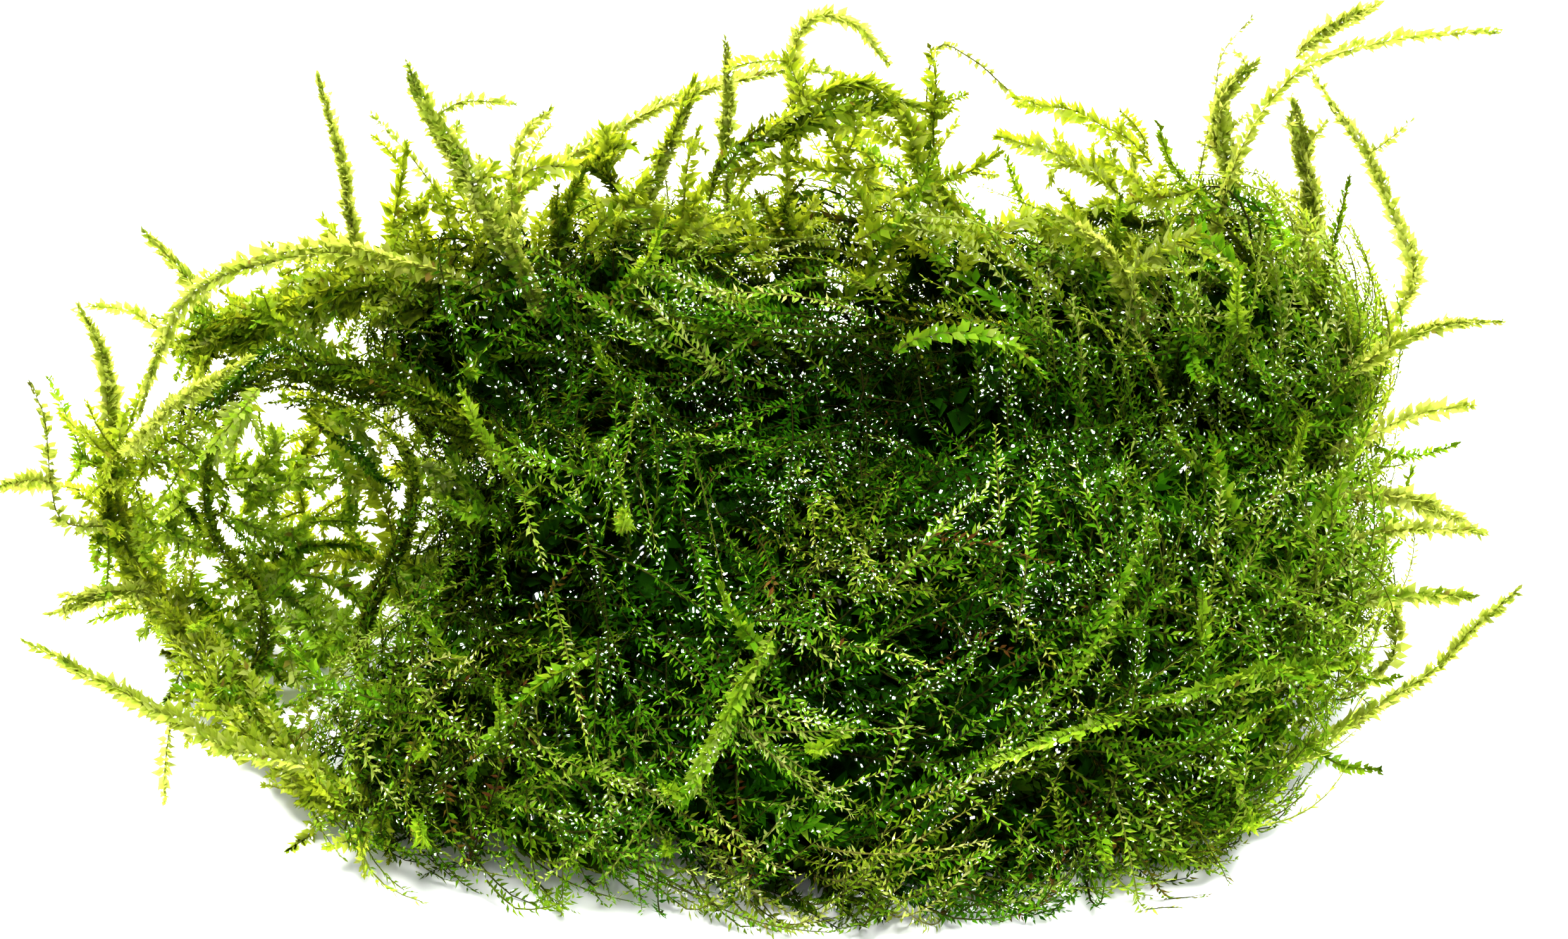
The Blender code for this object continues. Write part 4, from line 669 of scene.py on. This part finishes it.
def grow_inwards(tips, heading, lengths, dive, curl):
    """Paths from the tips back to their feet. At each step the heading turns by the curl about the way out,
    and leans in or out until the depth is the tip's own less dive (s / length)^1.4, a way s from the tip."""
    places = int(lengths.max() / MAT_STEP) + 1
    start, _ = mat_depth(tips)
    paths = np.empty((len(tips), places, 3))
    here = tips.copy()
    for k in range(places):
        paths[:, k] = here
        deep, out = mat_depth(here)
        share = np.minimum(k * MAT_STEP / lengths, 1)
        lean = np.clip(((start - dive * share ** 1.4) - deep) * LEAN, -MOST_LEAN, MOST_LEAN)[:, None]
        flat = unit(heading - out * dot(heading, out))
        flat = flat * np.cos(curl) + np.cross(out, flat) * np.sin(curl)
        wanted = flat * np.sqrt(1 - lean ** 2) + out * lean
        heading = unit(heading + HEED * wanted)
        heading[:, 2] += np.where(here[:, 2] < NEAR_GROUND, OFF_GROUND, 0)
        here = here + unit(heading) * MAT_STEP
    counts = np.maximum((lengths / MAT_STEP).astype(int) + 1, FEWEST_PLACES)
    counts = np.minimum(counts, places)
    order = np.clip(counts[:, None] - 1 - np.arange(places)[None], 0, None)
    return paths[np.arange(len(tips))[:, None], order], counts


def painted_light_and_shade(places):
    """The tone that a place adds: painted light where the mat is thin and light comes through, at its two
    ends and front edge, and a bell about each centre of the painted spots, painted shade where its tone is
    below 0 and painted light where it is above."""
    x, y, _ = places.T
    ends = ramp(np.abs(x - MIDDLE), ENDS, ENDS_SOFT)
    front = EDGE_SHARE * ramp(-y, EDGE, EDGE_SOFT)
    return PAINTED_THROUGH_LIGHT * np.clip(ends + front, 0, 1) + bells(places, PAINTED_SHADE_AND_LIGHT) @ np.array(PAINTED_SHADE_AND_LIGHT)[:, 4]


def layer(number, airy, under, length, dive, curl, leaf, slim, kept, tone, rng, lowest=None):
    """One layer of the mat's shoots: tips spread evenly under the skin, a share airy of them above the crest
    line, few in the gaps, and headings that swirl about the middle, stray from it, and stand up on the
    crest. With a lowest height the tips lie above it and towards the back. Their tones take the painted
    light and shade of their places and the painted light of the crest. The layer inside has no gaps, no
    painted light or shade of places, and no dead leaves."""
    tips, _ = skin_points(number * (1 if lowest is None else CREST_DRAWS), rng)
    proud, way = mat_depth(tips)
    inside = under[0] > INSIDE
    line = np.interp(tips[:, 0], *np.array(CREST_LINE, float).T)
    over = ramp(tips[:, 2] - line + (INSIDE_LOWER if inside else 0), 0, LINE_SOFT) * (tips[:, 1] > LINE_BACK)
    chance = 1 - (1 - airy) * over
    if not inside:
        chance = chance * (1 - GAP_BARER * bells(tips, GAPS).max(1))
    keep = (proud < SKIN) & (rng.random(len(tips)) < chance)
    if lowest is not None:
        keep &= (tips[:, 2] > lowest) & (tips[:, 1] > CREST_BACK)
    tips, way = tips[keep][:number], way[keep][:number]
    count = len(tips)
    tips = tips - way * rng.uniform(*under, (count, 1))
    swirl = unit(np.cross(UP, tips - np.array(SWIRL_MIDDLE)))
    swirl = unit(swirl - way * dot(swirl, way))
    turn = (PATCH_TURN * patches(tips, *ALIKE) + rng.normal(0, TURN_SPREAD, count))[:, None]
    heading = -(swirl * np.cos(turn) + np.cross(way, swirl) * np.sin(turn))
    heading = unit(heading - UPRIGHT * ramp(tips[:, 2:], UPRIGHT_FROM, UPRIGHT_OVER) * UP)
    lengths, dives = rng.uniform(*length, count), rng.uniform(*dive, count)
    paths, counts = grow_inwards(tips, heading, lengths, dives, rng.normal(0, curl * MAT_STEP, (count, 1)))
    bright = np.minimum(DULLEST + rng.gamma(1.5, 0.45, count), BRIGHTEST)
    # painted light and shade of the places, and painted light on the crest
    paler = painted_light_and_shade(tips) * (not inside) + CREST_PAINTED_LIGHT * on_crest(tips, CREST_PALE)
    return Shoots(
        paths, counts, unit(way + rng.normal(0, FACE_SPREAD, (count, 3))),
        leaf=leaf * rng.uniform(*SHOOT_SIZES, count), slim=slim, tone=tone * bright - PLAIN_DARKER + paler,
        kept=kept, bud=0, dead=np.where(rng.random(count) < DYING, DYING_DEAD, OTHER_DEAD) * (not inside))


def single_shoot(points, leaf, tone, kept, rng):
    """One shoot along its route, its flat side to the front and up."""
    path = smooth_route(points, LOOSE_STEP)[None]
    face = unit(np.array(FLAT_TO) + rng.normal(0, FLAT_SPREAD, 3))[None]
    return Shoots(path, [path.shape[1]], face, leaf=leaf, slim=SINGLE_SLIM, tone=tone, bud=BUD, kept=kept,
                  dead=SINGLE_DEAD)


def bundle(half_width, kind, points, thick, rng):
    """A loose shoot of n = thick (half width - 0.1)² strands, from 1 to MOST_STRANDS. Each is its route plus
    away (cos turn side + sin turn normal), with a turn that grows along it, and away its own share of the
    half width, tapered from FOOT_SHARE at the foot to 1 in the middle and TIP_SHARE at the tip, along sines.
    A deep one has more strands and no branches. Leaves are LEAF_REACH half width / sqrt n long. Side shoots
    stand on a stout one, and longer branches, so many for each millimetre, where they are asked for: each
    is foot + way s + bend s² for s from 0 to 1."""
    tone, kept = TONES[kind] + rng.normal(0, SHOOT_TONES), BARE_KEPT if kind == "bare" else KEPT
    many, branches, slim = thick
    if kind == "deep":
        many, branches = DEEP_DENSER * many, 0
    strands = min(max(1, round(many * (half_width - 0.1) ** 2)), MOST_STRANDS)
    leaf = min(max(LEAF_REACH * half_width / math.sqrt(strands), SHORTEST_LEAF), LONGEST_LEAF)
    whole = single_shoot(np.reshape(points, (-1, 3)), leaf, tone, kept, rng)
    tangent, side, normal = frames(whole, np.zeros((1, 1)))
    count = whole.counts[0]
    along = np.linspace(0, 1, count)[:, None]
    end = np.where(along < 0.5, FOOT_SHARE, TIP_SHARE)
    taper = end + (1 - end) * np.sin(np.pi * along)
    grown = []
    for k in range(strands):
        first = int(count * rng.uniform(*STRAND_START)) if k else 0
        last = int(count * rng.uniform(*STRAND_END)) if k else count
        way = LOOSE_STEP * np.arange(first, last)[:, None]
        turn = rng.uniform(0, 2 * math.pi) + rng.normal(0, WIND) * way
        away = math.sqrt(rng.random()) * max(half_width - LEAF_ROOM, 0) * taper[first:last]
        away = away * (1 + WAVE * np.sin(way * rng.uniform(*WAVE_TURNS) + rng.uniform(0, 6)))
        path = whole.paths[0, first:last] + away * (
            np.cos(turn) * side[0, first:last] + np.sin(turn) * normal[0, first:last])
        face = unit(path[:1] - whole.paths[0, first:first + 1] + rng.normal(0, STRAND_FLAT_SPREAD, (1, 3)))
        grown.append(Shoots(path[None], [len(path)], face, leaf=leaf * rng.uniform(*STRAND_LEAVES), slim=slim,
                            tone=tone + rng.normal(0, STRAND_TONES), bud=BUD, kept=kept,
                            dead=STRAND_DEAD))
    length = count * LOOSE_STEP
    sprigs = int(STRAND_SPRIGS * max(half_width - STOUT, 0) * length)
    reaches = np.r_[rng.uniform(*SPRIG_REACH, sprigs) * half_width,
                    rng.uniform(*BRANCH_REACH, int(branches * length))]
    for reach in reaches:
        at = rng.integers(0, count - 2)
        turn = rng.uniform(0, 2 * math.pi)
        out = math.cos(turn) * side[0, at] + math.sin(turn) * normal[0, at]
        foot = whole.paths[0, at] + out * 0.3 * (half_width - 0.3) * taper[at]
        way = unit(rng.uniform(*SIDE_AHEAD) * tangent[0, at] + out) * reach
        bend = rng.normal(0, SIDE_BEND, 3) * reach
        grown.append(single_shoot([foot + way * s + bend * s ** 2 for s in (0, 0.35, 0.7, 1)],
                                  rng.uniform(*SIDE_LEAVES), tone + rng.normal(*SIDE_TONES), KEPT, rng))
    return Shoots.together(grown)


def bundles(table, thick, rng):
    """The loose shoots of a table in one set."""
    return Shoots.together([
        bundle(half_width, kind, points, thick, rng) for half_width, kind, *points in table])


def sprig_shoots(rng):
    """The short sprigs, each a leafy shoot that starts a little deeper in the mat than its solid."""
    sprigs = []
    for foot, middle, tip in np.reshape(SPRIGS, (-1, 3, 3)):
        start = foot + unit(foot - middle) * SPRIG_START
        sprigs.append(single_shoot((start, foot, middle, tip), rng.uniform(*SPRIG_LEAVES),
                                   rng.uniform(*SPRIG_TONES), KEPT, rng))
    return Shoots.together(sprigs)


class Socket:
    """A shader socket that takes part in sums: each operator adds its Math node."""

    def __init__(self, tree, out=None):
        self.tree, self.out = tree, out

    def node(self, kind, settings, values=None, result=0):
        """Adds a node: first its settings and any stops of its ramp, then its sockets' values or links."""
        made = self.tree.nodes.new(kind)
        for name, value in settings.items():
            if name == "stops":
                while len(made.color_ramp.elements) < len(value):
                    made.color_ramp.elements.new(0.5)
                for element, (place, colour) in zip(made.color_ramp.elements, value):
                    element.position, element.color = place, (*colour, 1)
            else:
                setattr(made, name, value)
        for name, value in (values or {}).items():
            if isinstance(value, Socket):
                self.tree.links.new(value.out, made.inputs[name])
            else:
                made.inputs[name].default_value = value
        return Socket(self.tree, made.outputs[result] if made.outputs else None)

    def math(self, operation, one, two):
        """A Math node of the two."""
        return self.node("ShaderNodeMath", {"operation": operation}, {0: one, 1: two})

    def __add__(self, other):
        return self.math("ADD", self, other)

    def __sub__(self, other):
        return self.math("SUBTRACT", self, other)

    def __rsub__(self, other):
        return self.math("SUBTRACT", other, self)

    def __mul__(self, other):
        return self.math("MULTIPLY", self, other)

    def __gt__(self, other):
        return self.math("GREATER_THAN", self, other)

    def __lt__(self, other):
        return self.math("GREATER_THAN", other, self)

    __radd__, __rmul__ = __add__, __mul__


GREENS = (
    (0.0, (0.001, 0.003, 0.0003)),
    (0.25, (0.007, 0.045, 0.0008)),
    (0.5, (0.050, 0.180, 0.0025)),
    (0.75, (0.235, 0.410, 0.018)),
    (1.0, (0.640, 0.660, 0.200)),
)
OLIVES = (
    (0.0, (0.002, 0.003, 0.0003)),
    (0.25, (0.012, 0.038, 0.0010)),
    (0.5, (0.075, 0.158, 0.0030)),
    (0.75, (0.290, 0.385, 0.022)),
    (1.0, (0.620, 0.660, 0.200)),
)
STEM_BROWNS = (
    (0.0, (0.004, 0.003, 0.001)),
    (0.4, (0.034, 0.036, 0.005)),
    (0.75, (0.170, 0.160, 0.030)),
    (1.0, (0.380, 0.380, 0.080)),
)
DEAD_BROWNS = (
    (0.0, (0.012, 0.004, 0.001)),
    (0.5, (0.090, 0.030, 0.008)),
    (1.0, (0.280, 0.140, 0.040)),
)


def moss_material(name, leaf_colours, through, glow):
    """Wet moss. The tone runs through a ramp of leaf colours, stem browns or dead browns, as the row of the
    moss map picks. A leaf is EDGE_PALER e² paler for e from 0 at its midrib to 1 at its edge, and a wet one
    has a spot of gloss. A part of the light, through times the tone, passes through it in the glow."""
    material = bpy.data.materials.new(name)
    material.use_nodes = True
    tree = material.node_tree
    tree.nodes.clear()
    start = Socket(tree)
    spot = start.node("ShaderNodeUVMap", {"uv_map": MOSS_MAP})
    tone = start.node("ShaderNodeSeparateXYZ", {}, {0: spot}, 0)
    row = start.node("ShaderNodeSeparateXYZ", {}, {0: spot}, 1)
    low, high = WET_ROW + SPOT_FROM * LEAF_BAND, WET_ROW + SPOT_TO * LEAF_BAND
    wet = (row > low) * (high > row)
    edge = start.math("ABSOLUTE", row - (LEAF_ROW + LEAF_BAND / 2), 0) * (2 / LEAF_BAND)
    edge = start.math("MINIMUM", edge * edge, 1)
    greens = start.node("ShaderNodeValToRGB", {"stops": leaf_colours}, {0: tone + edge * EDGE_PALER})
    stems = start.node("ShaderNodeValToRGB", {"stops": STEM_BROWNS}, {0: tone})
    dead = start.node("ShaderNodeValToRGB", {"stops": DEAD_BROWNS}, {0: tone})
    mix = {"data_type": "RGBA"}
    colour = start.node("ShaderNodeMix", mix, {0: row > STEM_ROW - ROW_GAP, 6: greens, 7: stems}, 2)
    colour = start.node("ShaderNodeMix", mix, {0: row > DEAD_ROW - 2 * ROW_GAP, 6: colour, 7: dead}, 2)
    body = start.node("ShaderNodeBsdfPrincipled", {}, {
        "Base Color": colour, "Roughness": 0.60 - tone * 0.2, "IOR": 1.45, "Specular IOR Level": 0.0,
        "Coat Weight": wet, "Coat Roughness": 0.05, "Coat IOR": 1.5})
    leaf_through = start.node("ShaderNodeBsdfTranslucent", {}, {0: (*glow, 1)})
    surface = start.node("ShaderNodeMixShader", {}, {0: tone * through, 1: body, 2: leaf_through})
    start.node("ShaderNodeOutputMaterial", {}, {0: surface})
    return material


def dress(piece, material, *nodes):
    """The piece takes its material, rides on the clump, and stands for these solids."""
    piece.data.materials.append(material)
    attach(piece, "root")
    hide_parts(*nodes)


rng = np.random.default_rng(11)  # every draw below comes from this seed, in this order
# One wet moss: the olive one has the moss's own olive patches, while warm_green, side_green and lit_green are
# copies with more light through and paler glows, painted light from behind, for the crest, sides, lobe and
# loose shoots.
deep_green = moss_material("wet_moss", GREENS, 0.5, (0.08, 0.22, 0.004))
olive = moss_material("wet_olive_moss", OLIVES, 0.5, (0.16, 0.20, 0.006))
warm_green = moss_material("wet_moss_of_lobe_and_crest", OLIVES, 0.85, (0.44, 0.52, 0.015))
side_green = moss_material("wet_moss_at_the_sides", GREENS, 0.8, (0.36, 0.50, 0.014))
lit_green = moss_material("wet_moss_against_light", OLIVES, 0.85, (0.53, 0.58, 0.09))

mat = Shoots.together([layer(*row, rng) for row in LAYERS])
tips = mat.paths[np.arange(len(mat.paths)), mat.counts - 1]
x, y, z = tips.T
olive_here = patches(tips, *OLIVE_CLUMPS) > OLIVE_OVER
region = np.select(
    [(z > 20) & (y > 6), olive_here & (x < 22), y > 12, x < -10, x > 22, y < -9],
    ["crest", "olive", "back", "left", "right", "front"], "middle")
finish = {"crest": side_green, "left": side_green, "right": side_green, "olive": olive}
for part in ("crest", "olive", "back", "left", "right", "front", "middle"):
    piece = shoot_mesh(f"mat_{part}", mat.only(region == part), MAT_STEP, MAT_ROWS, rng)
    dress(piece, finish.get(part, deep_green), "tangled_mat")
piece = shoot_mesh("mat_crest_web", layer(*CREST_WEB, rng, WEB_FROM), MAT_STEP, LOOSE_ROWS, rng)
dress(piece, warm_green, "tangled_mat")
piece = shoot_mesh("mat_crest_filling", layer(*CREST_FILLING, rng, FILLING_FROM), MAT_STEP, MAT_ROWS, rng)
dress(piece, side_green, "tangled_mat")
piece = shoot_mesh("mat_sprigs", sprig_shoots(rng), LOOSE_STEP, LOOSE_ROWS, rng)
dress(piece, side_green, "tangled_mat")

for name, table, thick, node, material in (
        ("mat_crest_arcs", CREST_ARCS, CREST, "tangled_mat", warm_green),
        ("mat_lying_shoots", LYING, LOOSE, "tangled_mat", side_green),
        ("left_lobe_web", LOBE_WEB, LOBE, "left_rim", side_green)):
    dress(shoot_mesh(name, bundles(table, thick, rng), LOOSE_STEP, LOOSE_ROWS, rng), material, node)
for table, thick, material in ((LOBE_SHOOTS, LOBE, warm_green), (FREE_SHOOTS, LOOSE, lit_green)):
    for name, shoot in table.items():
        grown = bundles([shoot], thick, rng)
        dress(shoot_mesh(f"{name}_leaves", grown, LOOSE_STEP, LOOSE_ROWS, rng), material, name)

bpy.ops.mesh.primitive_plane_add(size=4, location=(0, 0, 0))
floor = bpy.context.object
floor.name = "floor"
paint = bpy.data.materials.new("pale_floor")
paint.use_nodes = True
paint.node_tree.nodes["Principled BSDF"].inputs["Base Color"].default_value = (0.86, 0.86, 0.84, 1)
paint.node_tree.nodes["Principled BSDF"].inputs["Roughness"].default_value = 0.6
floor.data.materials.append(paint)
floor.visible_glossy = False  # the wet gloss shows the lamps alone


def light(name, size, watts, place, colour=(1, 1, 1), gloss=False):
    """A square area light at a place in metres, aimed at the middle of the clump. One kind lights the
    moss softly, the other is small and seen only in its wet gloss."""
    lamp = bpy.data.lights.new(name, "AREA")
    lamp.size, lamp.energy, lamp.color = size, watts, colour
    thing = bpy.data.objects.new(name, lamp)
    thing.location = place
    thing.rotation_euler = (Vector((0, 0, 0.02)) - Vector(place)).to_track_quat("-Z", "Y").to_euler()
    thing.visible_glossy, thing.visible_diffuse, thing.visible_transmission = gloss, not gloss, not gloss
    bpy.context.scene.collection.objects.link(thing)


# Small lamps on a dome: how many, the turn from one to the next, and how many metres away.
GLINT_LAMPS, GLINT_TURN, GLINT_AWAY = 22, 2.4, 0.55
light("overhead", 0.25, 12.8, (0.05, -0.02, 0.6))
light("behind", 0.3, 9.6, (-0.1, 0.5, 0.35), (1.0, 0.92, 0.76))
for number in range(GLINT_LAMPS):
    turn, height = GLINT_TURN * number, 0.15 + 0.8 * (number + 0.5) / GLINT_LAMPS
    across = math.sqrt(1 - height ** 2)
    place = np.array((across * math.cos(turn), across * math.sin(turn), height)) * GLINT_AWAY
    light(f"glint_{number}", 0.12, 12, place, (0.94, 0.97, 1.0), gloss=True)
world = bpy.data.worlds.new("studio")
world.use_nodes = True
world.node_tree.nodes["Background"].inputs["Color"].default_value = (1, 1, 1, 1)
world.node_tree.nodes["Background"].inputs["Strength"].default_value = 0.215
bpy.context.scene.world = world
world.cycles_visibility.glossy = False

camera = bpy.data.objects.new("camera", bpy.data.cameras.new("camera"))
camera.data.lens, camera.data.sensor_width, camera.data.clip_start = 50, 36, 0.001
camera.location = (0, -0.13002, 0.11958)
camera.rotation_euler = (math.radians(52), 0, 0)
bpy.context.scene.collection.objects.link(camera)
bpy.context.scene.camera = camera
bpy.context.scene.view_settings.view_transform = "Standard"
